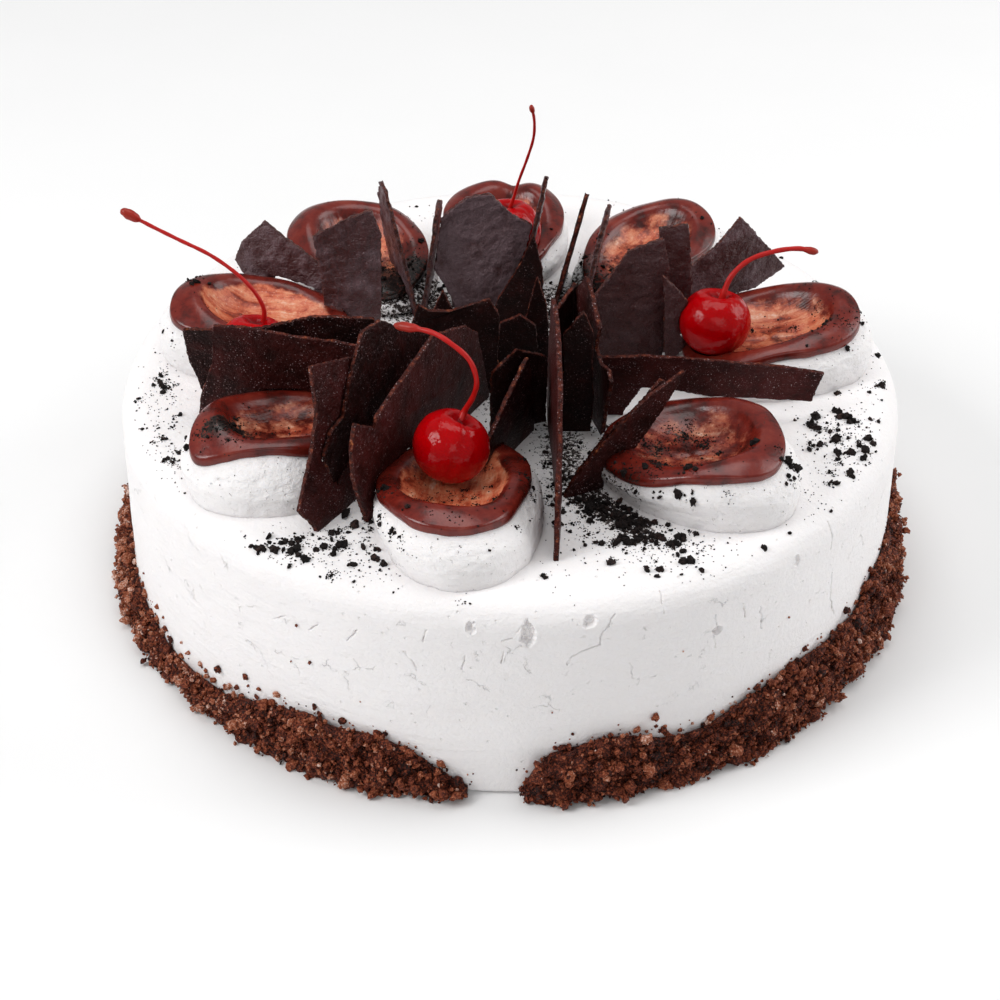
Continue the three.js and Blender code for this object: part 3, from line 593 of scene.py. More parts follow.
def model_frosting(sizes):
    """The frosted body: spun, cut finer where it is cracked, and unevenly spread."""
    piece = spin_profile(cake_profile(sizes), CAKE_STEPS)
    bpy.ops.object.mode_set(mode="EDIT")
    bpy.ops.mesh.select_all(action="DESELECT")
    bpy.ops.object.mode_set(mode="OBJECT")
    full = sizes.cake_radius / MM
    # The cream is cut finer in three steps, closer to the cracks and pits each time.
    for margin, cuts in ((None, 1), (1.4, 2), (0.8, 1)):
        centres = np.array([face.center for face in piece.data.polygons]) / MM
        centre_angle = np.arctan2(centres[:, 1], centres[:, 0])
        if margin is None:
            degrees = np.degrees(centre_angle)
            near = (degrees > FRONT_ARC[0]) & (degrees < FRONT_ARC[1])
            near &= centres[:, 2] > FRONT_BASE
        else:
            near = near_marks(centre_angle * full, centres[:, 2], full, margin)
        near &= np.hypot(centres[:, 0], centres[:, 1]) > SIDE_INNER
        piece.data.polygons.foreach_set("select", near)
        piece.data.update()
        bpy.ops.object.mode_set(mode="EDIT")
        bpy.ops.mesh.subdivide(number_cuts=cuts)
        bpy.ops.mesh.select_all(action="DESELECT")
        bpy.ops.object.mode_set(mode="OBJECT")

    points = points_of(piece) / MM
    radius = np.hypot(points[:, 0], points[:, 1])
    angle = np.arctan2(points[:, 1], points[:, 0])
    z = points[:, 2]
    arc = angle * full
    drawn = points * (1, 1, 4)
    side = np.clip((radius - 100) / 12, 0, 1) * np.clip(z / 4, 0, 1)
    spread = 0.22 * ripple(drawn, 40, 1) + 0.1 * ripple(drawn, 9, 2)
    spread += 0.14 * ripple(points, 11, 3) + 0.05 * ripple(points * (0.4, 0.4, 1), 2.2, 9)
    ragged = 0.45 * ripple(points, 2.0, 4) + 0.2 * ripple(points, 0.8, 7)
    broken = np.clip(0.75 + 0.9 * ripple(points, 2.6, 8), 0, 1)
    cut = np.zeros(len(points))
    for line in CRACKS:
        away = distance_to_line(arc + ragged, z, line, full)
        cut += 0.9 * broken * np.exp(-(away / 0.2) ** 2)
    crumbled = lumps(points, 0.9, 12)
    for degrees, up, wide, tall, depth in PITS:
        off = np.hypot((arc - math.radians(degrees) * full + 1.8 * ragged) / wide,
                       (z - up + 1.8 * ragged) / tall)
        cut += depth * np.clip(3 * (1.12 - off), 0, 1) * (1.25 - 0.75 * crumbled)
        cut -= 0.12 * np.exp(-((off - 1.35) / 0.25) ** 2)
    outward = side_offset(angle, z) + side * (spread - cut)
    scale = np.where(radius > full / 2, 1 + outward / np.maximum(radius, 1), 1)
    points[:, :2] *= scale[:, None]
    on_top = np.clip((z - 60) / 5, 0, 1)
    flat = np.stack([points[:, 0], points[:, 1], 0 * z], 1)
    points[:, 2] += on_top * (0.35 * ripple(flat, 26, 5) + 0.12 * ripple(flat, 7, 6) - 0.15)
    set_points(piece, points * MM)
    set_attribute(piece, "powder", powder_and_shade_at(points) * (z > 60))
    return piece


# ---- Dollops and ganache ----

# Middle of each dollop in degrees and millimetres from the cake's middle, how far its long axis
# is turned off the radius, its length, width and height, how far its top leans out and across,
# how far the ganache spreads along and across it, how much it widens outward, how deep its rim
# is notched, which way its drip runs and how far, and a number that sets its unevenness.
Dollop = namedtuple(
    "Dollop", "place reach twist length width height lean cover flare notch drip drip_length seed")

DOLLOPS = {
    "front": Dollop(-98.5, 78, 2, 61, 45, 17, (-4.5, -4), (1, 1.06), 0.14, 0, -20, 0.1, 1),
    "front_right": Dollop(-47, 78, 18, 62, 42, 19, (-3.5, 2), (0.98, 1.2), 0.1, 0, -25, 0.2, 2),
    "right": Dollop(4, 80, -2, 60, 44, 19, (-1, 3), (1, 1.04), -0.08, 0, -60, 0.2, 3),
    "back_right": Dollop(53.5, 72, -4, 54, 40, 16, (0, 0), (1, 1), 0.1, 0, 40, 0.3, 4),
    "back": Dollop(92, 69, 3, 52, 40, 17, (0, 0), (1, 1), 0.14, 0.22, -60, 0.3, 5),
    "back_left": Dollop(131, 71, -3, 52, 42, 19, (0, 0), (1, 1), 0.1, 0, 50, 0.4, 6),
    "left": Dollop(172, 77, 4, 58, 42, 18.5, (-2, -3), (1, 1.04), 0.1, 0, 30, 0.3, 7),
    "front_left": Dollop(-140, 80.5, -4, 62, 44, 18.5, (-3, -6), (0.98, 0.88), 0.1, 0, -4, 0.6, 8),
}

# How far the spoon scraped the ganache off the middle of each dish.
FILM_SHARES = {
    "front": 1.8, "front_right": 0.6, "right": 1.0, "back_right": 0.9, "back": 0.9,
    "back_left": 0.8, "left": 1.7, "front_left": 0.7,
}

DOLLOP_STEPS = 192
INNER_RISE = 0.25
NOTCH_TURN = -0.28
DISH = [(0, 0.52), (0.4, 0.58), (0.62, 0.86), (0.72, 0.97)]
EDGE_HIGH = (0.81, 0.97)
EDGE_LOW = (1.01, 0.5)
FLANK = [(1.04, 0.3), (0.99, 0)]
FLANK_BULGE = 0.08
SECTION_END = 7
GANACHE_EDGE = 4
LIP_HANG = 0.9


def dollop_points(dollop, share, rise, angle, filled):
    """Places on a dollop, in millimetres, from shares of its outline and of its height. Filled
    is 1 where ganache covers it."""
    wobble = 1 + 0.035 * np.sin(2 * angle + 2 * dollop.seed)
    wobble = wobble + 0.025 * np.sin(3 * angle + dollop.seed)
    spread_along, spread_across = (1 + (value - 1) * filled for value in dollop.cover)
    along = share * wobble * spread_along * dollop.length / 2 * np.cos(angle)
    across = share * wobble * spread_across * dollop.width / 2 * np.sin(angle)
    across = across * (1 + dollop.flare * np.cos(angle))
    outward = np.clip(0.5 + along / dollop.length, 0, 1)
    cut = dollop.notch * filled * np.exp(-(np.sin((angle - NOTCH_TURN) / 2) / 0.13) ** 2)
    up = dollop.height * rise * (INNER_RISE + (1 - INNER_RISE) * outward)
    up = up * (1 + 0.05 * np.sin(3 * angle + 2 * dollop.seed)) * (1 - cut)
    along, across = along + dollop.lean[0] * rise, across + dollop.lean[1] * rise
    place, turn = math.radians(dollop.place), math.radians(dollop.place + dollop.twist)
    x = dollop.reach * math.cos(place) + along * math.cos(turn) - across * math.sin(turn)
    y = dollop.reach * math.sin(place) + along * math.sin(turn) + across * math.cos(turn)
    return np.stack([x, y, up], -1)


def edge_drop(dollop, angle):
    """How far down the flank the ganache runs: 0 on the rim, 1 at the low end."""
    away = np.sin((angle - math.radians(dollop.drip)) / 2)
    run = dollop.drip_length * np.exp(-(away / 0.2) ** 2)
    return 0.22 + 0.12 * np.sin(3 * angle + dollop.seed) + 0.7 * run


def section_share(dollop, angle, t):
    """Share of the outline and of the height at a step t along the section, from the middle."""
    drop = edge_drop(dollop, angle)
    ones = np.ones_like(drop)
    edge = [EDGE_HIGH[k] + (EDGE_LOW[k] - EDGE_HIGH[k]) * drop for k in range(2)]
    flank = [(edge[0] + FLANK[0][0]) / 2 + FLANK_BULGE * (1 - drop), (edge[1] + FLANK[0][1]) / 2]
    knots = [(-DISH[1][0] * ones, DISH[1][1] * ones)]
    knots += [(a * ones, b * ones) for a, b in DISH]
    knots += [edge, flank]
    knots += [(a * ones, b * ones) for a, b in FLANK]
    knots += [(0.9 * ones, -0.3 * ones)]
    knots = np.array([np.stack(knot, -1) for knot in knots])
    first = np.clip(np.floor(t).astype(int), 0, SECTION_END - 1)
    f = (t - first)[:, None]
    row = np.arange(len(t))
    p0, p1, p2, p3 = (knots[first + k, row] for k in range(4))
    curve = 0.5 * (2 * p1 + (p2 - p0) * f + (2 * p0 - 5 * p1 + 4 * p2 - p3) * f ** 2
                   + (3 * p1 - p0 - 3 * p2 + p3) * f ** 3)
    return curve[:, 0], curve[:, 1]


def dollop_surface(dollop, angle, t):
    """Points and outward normals of a dollop, in millimetres, before it is set on the cake."""
    def at(angle, t):
        share, rise = section_share(dollop, angle, t)
        filled = np.clip((GANACHE_EDGE + 2 - t) / 2, 0, 1)
        return dollop_points(dollop, share, rise, angle, filled)

    step = 0.01
    inner = np.clip(t, 0.04, SECTION_END)
    down = at(angle, np.clip(inner + step, 0, SECTION_END)) - at(angle, inner - step)
    around = at(angle + step, inner) - at(angle - step, inner)
    normals = np.cross(down, around)
    normals /= np.linalg.norm(normals, axis=1)[:, None]
    normals[t < 0.04] = (0, 0, 1)
    down /= np.linalg.norm(down, axis=1)[:, None]
    return at(angle, t), normals, down


def unit_rings(piece, profile):
    """Which ring of the spun profile each vertex is on, and its angle."""
    points = points_of(piece)
    flat = np.stack([np.hypot(points[:, 0], points[:, 1]), points[:, 2]], 1)
    gaps = np.linalg.norm(flat[:, None] - np.array(profile)[None], axis=2)
    return gaps.argmin(1), np.arctan2(points[:, 1], points[:, 0])


def push_out_of_cherries(points, clearance, sizes):
    """Moves what is inside a cherry onto its skin, as it sinks into the cream."""
    for cherry in CHERRIES.values():
        middle = np.array(cherry.middle)
        away = points - middle
        distance = np.linalg.norm(away, axis=1)
        reach = sizes.cherry_radius / MM + clearance
        inside = distance < reach
        points[inside] = middle + away[inside] * (reach / distance[inside])[:, None]
    return points


def model_dollop(dollop, sizes):
    """A piped dollop, pressed with a spoon."""
    rings = np.linspace(0, SECTION_END, 57)
    profile = [(t / 10, 0) for t in rings] + [(0, -0.1)]
    piece = spin_profile(profile, DOLLOP_STEPS)
    ring, angle = unit_rings(piece, profile)
    bottom = ring == len(rings)
    t = np.append(rings, 0)[ring]
    points, normals, _ = dollop_surface(dollop, angle, t)
    flank = np.clip((t - 3.9) / 0.9, 0, 1) * (1 - bottom)
    layers = points * (1, 1, 2.6)
    folds = 0.42 * ripple(points, 9, dollop.seed) + 0.2 * ripple(layers, 4.2, dollop.seed + 5)
    torn = np.clip(ripple(layers, 2.3, dollop.seed + 9) - 0.25, 0, 1)
    folds -= 0.75 * torn + 0.05 * ripple(points, 1.1, dollop.seed + 13)
    folds += 0.16 * ripple(points * (1, 1, 1.4), 2.0, dollop.seed + 17)
    points += normals * (flank * folds)[:, None]
    points[:, 2] += np.where(t > SECTION_END - 0.01, -1.4, 0)
    points[bottom] = dollop_points(dollop, np.zeros(1), np.zeros(1), np.zeros(1), 0)[0]
    points[bottom, 2] = -1.5
    points[:, 2] += sizes.cake_height / MM + GAP
    set_points(piece, push_out_of_cherries(points, 0.9, sizes) * MM)
    set_attribute(piece, "powder", 0.1 + 0.75 * powder_and_shade_at(points))
    return mend(piece)


def model_ganache(dollop, thin, sizes):
    """Ganache in a dollop's dish: a film in the middle, which is scraped as thin as thin says,
    and a thick bead over the rim."""
    over = np.linspace(0, GANACHE_EDGE, 41)
    bead = np.linspace(0, 1, 11)[1:-1]
    under = np.linspace(GANACHE_EDGE, 0, 17)
    profile = [(t / 10, 0) for t in over]
    profile += [(GANACHE_EDGE / 10 + 0.05 * math.sin(math.pi * s), -0.02 * s) for s in bead]
    profile += [(t / 10, -0.02) for t in under]
    piece = spin_profile(profile, DOLLOP_STEPS)
    ring, angle = unit_rings(piece, profile)
    t = np.concatenate([over, np.full(len(bead), GANACHE_EDGE), under])[ring]
    turn = np.concatenate([np.zeros(len(over)), bead, np.ones(len(under))])[ring]
    points, normals, down = dollop_surface(dollop, angle, t)
    film, lip = sizes.ganache_film / MM, sizes.ganache_lip / MM
    depth = np.interp(t, [0, 1, 2, 3, 4], [film, film, 0.6 * lip, 0.9 * lip, lip])
    depth += 0.3 * ripple(points, 9, dollop.seed) * np.clip(t / 1.5, 0, 1)
    # Strokes of the spoon, from the dish outward.
    turned = math.radians(dollop.place + dollop.twist)
    across = points[:, 1] * math.cos(turned) - points[:, 0] * math.sin(turned)
    along = points[:, 0] * math.cos(turned) + points[:, 1] * math.sin(turned)
    strokes = ripple(np.stack([along / 6, across, 0 * along], 1), 2.1, dollop.seed + 3)
    depth += 0.12 * strokes * np.clip((3.0 - t) / 1.2, 0, 1)
    lift = depth * (0.5 + 0.5 * np.cos(math.pi * turn)) + GAP * (1 - 2 * turn)
    run = 0.4 * lip * np.sin(math.pi * turn)
    ragged = ripple(points, 12, dollop.seed + 20) + 0.25 * ripple(points, 4, dollop.seed + 21)
    run = run * (1 + 1.2 * ragged)
    points = points + normals * lift[:, None] + down * run[:, None]
    points[:, 2] -= LIP_HANG * np.sin(math.pi * turn)
    points[:, 2] += sizes.cake_height / MM + GAP
    for chosen, clearance in ((turn <= 0.5, 0.1), (turn > 0.5, 0.5)):
        points[chosen] = push_out_of_cherries(points[chosen], clearance, sizes)
    set_points(piece, points * MM)
    scraped = np.clip((3.0 - t + 0.5 * ripple(points, 7, dollop.seed + 30)) / 1.4, 0, 1)
    set_attribute(piece, "film", thin * scraped * (turn < 0.5))
    set_attribute(piece, "powder", 0.1 + powder_and_shade_at(points))
    set_attribute(piece, "stroke", np.stack([along, across, 13 * dollop.seed + 0 * along], 1) * MM)
    return mend(piece)


# ---- Cherries and stems ----

Cherry = namedtuple("Cherry", "middle lean toward thick knob stem")

# Middle of each cherry, which way its dimple leans, the stem's thickness as a share of the
# thickest one, the length and radius of its knob, and its route out of the dimple.
CHERRIES = {
    "front": Cherry((-16, -67, 83.3), 26, 25, 0.85, (8.5, 1.3), [
        (-13.3, -63.2, 89.5), (-12.4, -62, 91.5), (-10, -63, 97), (-9, -64, 103), (-11, -63, 109),
        (-16, -61, 113), (-21, -58, 114.5), (-32, -52, 113.3)]),
    "right": Cherry((61.7, 3, 81), 14, 60, 0.9, (5, 1.1), [
        (63.5, 4.1, 88.3), (64, 4.5, 90.5), (66, 6, 95), (71, 8, 99.3), (79, 9, 102),
        (86, 9.5, 102.6), (92, 10, 101)]),
    "back": Cherry((-1, 60, 79.5), 10, 80, 0.55, (3, 0.85), [
        (-0.2, 61.7, 86.7), (1, 62, 90.5), (2.5, 62.5, 96), (5, 62, 104), (7, 60, 113),
        (7, 58.5, 120), (6, 57.5, 125)]),
    "left": Cherry((-76, -9, 78), 16, 60, 0.7, (6.5, 1.6), [
        (-73.5, -5, 84.5), (-73, -4.5, 88), (-74.5, -3.5, 92), (-79, -2, 97.5), (-88, 1, 103.5),
        (-98, 3, 108), (-106, 4, 112), (-114.5, 5, 116.6)]),
}

CHERRY_DIMPLE = 3.2
CHERRY_RINGS = 48
CHERRY_STEPS = 72
STEM_RINGS = 130


def model_cherry(cherry, seed, sizes):
    """A stoned cherry: round, dimpled at the stem, with a faint seam down one side."""
    radius = sizes.cherry_radius / MM
    profile = []
    for step in range(CHERRY_RINGS + 1):
        turn = math.pi * step / CHERRY_RINGS
        out = 0 if step in (0, CHERRY_RINGS) else radius * math.sin(turn)
        dimple = CHERRY_DIMPLE * math.exp(-((out / 3.6) ** 2)) if turn > math.pi / 2 else 0
        profile.append((out * MM, (-0.95 * radius * math.cos(turn) - dimple) * MM))
    piece = spin_profile(profile, CHERRY_STEPS)
    points = points_of(piece) / MM
    out = np.hypot(points[:, 0], points[:, 1])
    angle = np.arctan2(points[:, 1], points[:, 0])
    away = points / np.maximum(np.linalg.norm(points, axis=1), 1)[:, None]
    seam = np.exp(-(np.sin((angle + 1.9) / 2) / 0.05) ** 2) * np.clip(out / 4, 0, 1)
    swell = 0.22 * ripple(points, 7, seed) + 0.07 * ripple(points, 2.5, seed + 3) - 0.28 * seam
    set_attribute(piece, "dimple", (points[:, 2] > 0) * np.exp(-(out / 2.6) ** 2))
    points += away * swell[:, None]
    lean = Matrix.Rotation(math.radians(cherry.toward), 3, "Z") @ Matrix.Rotation(
        math.radians(cherry.lean), 3, "Y")
    points = points @ np.array(lean).T + np.array(cherry.middle)
    set_points(piece, points * MM)
    return piece


def smooth_route(route, count):
    """Points spread evenly along a centripetal spline through the route."""
    knots = [np.array(point, float) for point in route]
    knots = [2 * knots[0] - knots[1], *knots, 2 * knots[-1] - knots[-2]]
    dense = []
    for p0, p1, p2, p3 in zip(knots, knots[1:], knots[2:], knots[3:]):
        gaps = [max(1e-4, np.linalg.norm(b - a) ** 0.5) for a, b in ((p0, p1), (p1, p2), (p2, p3))]
        m1 = (p1 - p0) / gaps[0] - (p2 - p0) / (gaps[0] + gaps[1]) + (p2 - p1) / gaps[1]
        m2 = (p2 - p1) / gaps[1] - (p3 - p1) / (gaps[1] + gaps[2]) + (p3 - p2) / gaps[2]
        m1, m2 = m1 * gaps[1], m2 * gaps[1]
        for f in np.linspace(0, 1, 24, endpoint=False):
            dense.append(p1 + m1 * f + (3 * (p2 - p1) - 2 * m1 - m2) * f ** 2
                         + (2 * (p1 - p2) + m1 + m2) * f ** 3)
    dense.append(knots[-2])
    dense = np.array(dense)
    run = np.append(0, np.cumsum(np.linalg.norm(np.diff(dense, axis=0), axis=1)))
    even = np.linspace(0, run[-1], count)
    return np.stack([np.interp(even, run, dense[:, k]) for k in range(3)], 1), even


def model_stem(cherry, sizes):
    """A stem: a bent tube that widens to a knob where it grew on the twig."""
    route, run = smooth_route(cherry.stem, STEM_RINGS)
    inward = np.array(cherry.middle) - route[0]
    inward /= np.linalg.norm(inward)
    route = np.vstack([route[0] + 1.6 * inward, route])
    run = np.append(-1.6, run)
    knob_length, knob_radius = cherry.knob
    from_end = run[-1] - run
    oval = np.sqrt(np.clip(1 - (2 * from_end / knob_length - 1) ** 2, 0.02, 1))
    oval *= knob_radius * MM / sizes.stem_radius * (from_end < knob_length)
    plain = cherry.thick * (1 + 0.05 * np.sin(run * 1.1) + 0.45 * np.exp(-run / 4))
    neck = plain * np.where(from_end < knob_length / 2, 2 * from_end / knob_length, 1)
    width = (neck ** 4 + oval ** 4) ** 0.25
    deselect_all()
    bpy.ops.curve.primitive_nurbs_path_add()
    curve = bpy.context.object
    curve.data.splines.clear()
    spline = curve.data.splines.new("POLY")
    spline.points.add(len(route) - 1)
    for point, place, wide in zip(spline.points, route * MM, width):
        point.co = (*place, 1)
        point.radius = wide
    curve.data.bevel_depth = sizes.stem_radius
    curve.data.bevel_resolution = 4
    curve.data.use_fill_caps = True
    bpy.ops.object.convert(target="MESH")
    piece = bpy.context.object
    piece.matrix_world = Matrix.Identity(4)
    mend(piece, SAME_PLACE)
    points = points_of(piece) / MM
    end_gap = np.linalg.norm(points - route[-1], axis=1)
    knob = np.clip(1.4 - end_gap / knob_length, 0, 1)
    normals = normals_of(piece)
    points += normals * (0.25 * knob * ripple(points * (0.4, 1, 1), 0.9, 3))[:, None]
    set_points(piece, points * MM)
    set_attribute(piece, "knob", knob)
    return piece


# ---- Chocolate bark ----

BARK_CELL = 0.55
BARK_COUNT = 31
# What lies below this height is pushed down into the cream by this much.
BARK_FOOT = 67
BARK_SINK = 1.8
# Plates that lean back under the top and back lights: their faces are paled to grey to paint the
# sheen of those lights, a painted sheen, and they are also bumpier and glossier. The next table
# sets some of them paler or darker; plate 18, where the top light falls most, is palest.
SHEEN_PAINTED_BARK = {14, 15, 16, 17, 18, 19, 24, 25, 26, 27, 28}
SHEEN_PAINTED_SHADES = {18: 1.0, 25: 0.68, 26: 0.68, 27: 0.7}
# Plates deep in the crown: their faces are darkened to near black to paint the shade that the
# plates around them cast, a painted shade.
SHADOW_PAINTED_BARK = {12, 13, 20, 21, 22, 23, 29, 30, 31}


def model_plate(node, number):
    """A plate of bark: remeshed finely, its faces uneven and its broken edges nicked."""
    piece = merged_copy(node)
    source = put(node + "_source", piece.data.copy())
    apply_modifier(piece, "REMESH", mode="VOXEL", voxel_size=BARK_CELL * MM, adaptivity=0.0)
    apply_modifier(piece, "SHRINKWRAP", target=source, wrap_method="NEAREST_SURFACEPOINT")
    bpy.data.objects.remove(source)
    points = points_of(piece) / MM
    normals = normals_of(piece)
    spread = points - points.mean(0)
    across = np.linalg.svd(spread.T @ spread)[2][-1]
    facing = np.abs(normals @ across)
    broken = 1 - np.clip((facing - 0.4) / 0.3, 0, 1)
    grey = number in SHEEN_PAINTED_BARK
    wave = 0.35 * ripple(points, 16, number) + 0.12 * ripple(points, 5, number + 40)
    points += across * wave[:, None]
    bumps = (0.5 if grey else 0.1) * (lumps(points, 3.4, number) - 0.5)
    if grey:
        bumps += 0.25 * ripple(points, 1.6, number + 160)
    points += normals * ((1 - broken) * bumps)[:, None]
    nicks = np.clip(ripple(points, 2.6, number + 80) + 0.15, 0, 1) * 0.9
    nicks += 0.35 * ripple(points, 1.1, number + 120)
    points -= normals * (broken * nicks)[:, None]
    foot = np.clip((BARK_FOOT - points[:, 2]) / 1.5, 0, 1)
    points[:, 2] -= BARK_SINK * foot
    set_points(piece, points * MM)
    set_attribute(piece, "broken", broken)
    # The shade sets the face's tone: a random dark red-brown on most plates, a painted pale grey
    # sheen on the plates that lean back under the lights, and near-black painted shade on those
    # deep in the crown. Bloom sets how dusty the face is.
    shade, bloom = 0.38 + 0.1 * math.sin(2.3 * number), 0.8
    if grey:
        shade, bloom = SHEEN_PAINTED_SHADES.get(number, 0.84), 0.2
    if number in SHADOW_PAINTED_BARK:
        shade, bloom = 0.2, 0.3
    set_attribute(piece, "shade", np.full(len(points), shade))
    set_attribute(piece, "bloom", np.full(len(points), bloom))
    return piece


# ---- Crumbs ----

Patch = namedtuple("Patch", "at spread turn count largest")

# Middle, spread along and across in millimetres, turn, how many, and the largest crumb.
COOKIE_PATCHES = [
    Patch((31, -75), (9, 3), -45, 900, 2.6),
    Patch((35, -82), (13, 7), -30, 620, 2.6),
    Patch((42, -92), (15, 8), -25, 280, 2.4),
    Patch((16, -48), (6, 14), 0, 520, 1.6),
    Patch((27, -66), (4, 6), 0, 240, 1.6),
    Patch((42, -53), (3, 4), 10, 190, 1.2),
    Patch((50, -46), (5, 3), -30, 230, 1.1),
    Patch((45, -66), (7, 2), 25, 210, 1.2),
    Patch((58, -62), (8, 7), 0, 90, 1.0),
    Patch((97, -36), (7, 9), 15, 620, 2.6),
    Patch((106, 2), (5, 16), 0, 240, 2.2),
    Patch((85, -65), (7, 6), 20, 150, 2.6),
    Patch((96, 1), (5, 3), 30, 120, 1.6),
    Patch((82, 6), (10, 7), 0, 110, 0.9),
    Patch((-105, -16), (4, 12), 0, 300, 1.8),
    Patch((-99, -50), (6, 9), 20, 220, 1.8),
    Patch((-60, -90), (9, 4), 10, 330, 2.4),
    Patch((-45, -88), (8, 6), 0, 380, 3.2),
    Patch((-36, -101), (12, 5), 10, 170, 1.4),
    Patch((-78, -55), (6, 3), 40, 220, 1.2),
    Patch((-68, -52), (11, 9), 0, 160, 0.9),
    Patch((-16, -82), (9, 5), 0, 150, 0.9),
    Patch((-18, -99), (9, 5), 0, 60, 1.3),
    Patch((58, 88), (14, 7), -30, 260, 2.4),
    Patch((-52, 92), (14, 7), 30, 240, 2.4),
    Patch((-103, 38), (5, 14), 15, 210, 2.2),
    # The patches at (0, 0), (-34, 44), (2, 42) and (26, 42) lie heavy in the crown, among the
    # plates and the back dollops' inner ends. They are partly real crumbs and partly dark pieces
    # that paint the shade there.
    Patch((0, 0), (52, 52), 0, 600, 1.2),
    Patch((0, -60), (70, 34), 0, 520, 0.8),
    Patch((-34, 44), (9, 9), 0, 420, 1.6),
    Patch((2, 42), (20, 10), 0, 700, 1.6),
    Patch((26, 42), (8, 12), 0, 480, 1.6),
]

FINEST_COOKIE = 0.38

# Middle, spread, turn and thickness of the fine powder among the bark plates and in a dish. The
# four wide ones in the crown also darken it to paint the shade among the plates: partly powder,
# partly painted shade.
POWDER_AND_SHADE = [
    ((-81, -56), (5, 2.5), 40, 1.4),
    ((16, -48), (6, 13), 0, 0.9),
    ((22, -66), (4, 5), 0, 0.6),
    ((0, 0), (26, 26), 0, 1.3),
    ((-34, 38), (10, 9), 0, 1.3),
    ((0, 38), (14, 9), 0, 1.3),
    ((18, 32), (9, 11), 0, 1.0),
]

BORDER_LINE = [
    (-88, 6), (-84, 17), (-78, 20), (-70, 17), (-62, 14), (-54, 19), (-44, 22), (-32, 20),
    (-24, 25), (0, 24), (30, 21), (60, 25), (95, 21), (130, 24), (165, 18), (190, 13), (205, 11),
    (215, 8), (226, 9), (233, 14), (241, 18), (248, 18), (254, 17), (258, 14), (262, 8), (265, 4),
]

# Name, how many, least and greatest size, how rare the large ones are, how far out they sit as a
# share of their size, fineness of the mesh and depth of the pores, for each kind of crumb.
BORDER_KINDS = [
    ("large_crumbs", 95, 2.8, 4.6, 1.8, 0.1, 3, 0.45),
    ("loose_crumbs", 560, 1.7, 3.2, 1.5, 0.25, 2, 0.5),
    ("small_crumbs", 2400, 1.0, 2.2, 1.3, 0.4, 2, 0.5),
    ("fine_crumbs", 9000, 0.4, 1.3, 1.4, 0.7, 1, 0.35),
]

CLUMP_SIZE = 6
CLUMP_SEED = 1

# Degrees round the cake, millimetres up and size of crumbs that stick to the side by themselves.
STRAY_CRUMBS = [
    (-151.7, 16.8, 1.6), (-149.6, 15.7, 1.1), (-147.3, 10.5, 1.8), (-134.7, 16.4, 2.4),
    (-129, 20.1, 1.8), (-137.7, 11.9, 1.4), (-136, 10.6, 1.9), (-139, 12.8, 1.3),
    (-126.6, 18.2, 1.1), (-119.2, 48.4, 1), (-117.4, 36.7, 1.1), (-120.5, 34.4, 0.6),
    (-142, 13, 1.2), (-144, 14, 0.9), (-131, 14, 1.5), (-132.5, 12.6, 1.9), (-133.6, 11.4, 1.2),
    (-48, 40, 0.7), (-158, 20, 0.8), (-66, 44, 0.5), (-84, 30, 0.5), (-110, 28, 0.5),
]


STRAY_COUNT = 420

# Cookie crumbs up to this size are dust, and none lie farther out than the edge of the top.
DUST_SIZE = 1.1
TOP_EDGE = 114


def border_height(degrees):
    return np.interp(degrees, *zip(*BORDER_LINE))


def crumb_shapes(subdivisions, count, roughness, seed, pores=0.0):
    """A few uneven crumbs, one unit across, as arrays of points and faces."""
    shapes = []
    for number in range(count):
        deselect_all()
        bpy.ops.mesh.primitive_ico_sphere_add(subdivisions=subdivisions, radius=0.5)
        crumb = bpy.context.object
        bpy.ops.object.mode_set(mode="EDIT")
        bpy.ops.mesh.select_all(action="SELECT")
        bpy.ops.transform.vertex_random(offset=roughness, uniform=1.0, seed=seed + number)
        bpy.ops.object.mode_set(mode="OBJECT")
        points = np.array([vertex.co for vertex in crumb.data.vertices])
        faces = np.array([face.vertices for face in crumb.data.polygons])
        if pores:
            key = seed + number
            swell = ripple(points, 0.45, key) + 0.8 * (lumps(points, 0.3, key) - 0.4)
            points = points * (1 + pores * swell + 0.4 * pores * ripple(points, 0.12, key))[:, None]
        shapes.append((points, faces))
        bpy.data.objects.remove(crumb)
    return shapes


def random_turns(random, count):
    """Rotation matrices that point every way alike."""
    w, x, y, z = np.moveaxis(random.normal(size=(count, 4)), 1, 0)
    size = np.sqrt(w * w + x * x + y * y + z * z)
    w, x, y, z = w / size, x / size, y / size, z / size
    return np.stack([
        1 - 2 * (y * y + z * z), 2 * (x * y - z * w), 2 * (x * z + y * w),
        2 * (x * y + z * w), 1 - 2 * (x * x + z * z), 2 * (y * z - x * w),
        2 * (x * z - y * w), 2 * (y * z + x * w), 1 - 2 * (x * x + y * y)], 1).reshape(-1, 3, 3)


def join_crumbs(shapes, places, sizes, tones, stretch, seed, floor=None):
    """One mesh with a turned copy of a crumb at each place, in millimetres."""
    random = np.random.default_rng(seed)
    turns = random_turns(random, len(places))
    stretches = 1 + stretch * (random.random((len(places), 3)) - 0.6)
    points, faces, shades, start = [], [], [], 0
    for number, (place, size, tone) in enumerate(zip(places, sizes, tones)):
        shape, sides = shapes[number % len(shapes)]
        body = (shape * stretches[number] * size) @ turns[number].T + place
        points.append(body)
        faces.append(sides + start)
        shades.append(np.full(len(shape), tone))
        start += len(shape)
    points = np.concatenate(points)
    if floor is not None:
        points[:, 2] = np.maximum(points[:, 2], floor)
    mesh = bpy.data.meshes.new("crumbs")
    mesh.from_pydata((points * MM).tolist(), [], np.concatenate(faces).tolist())
    mesh.update()
    piece = put("crumbs", mesh)
    set_attribute(piece, "tone", np.concatenate(shades))
    return piece


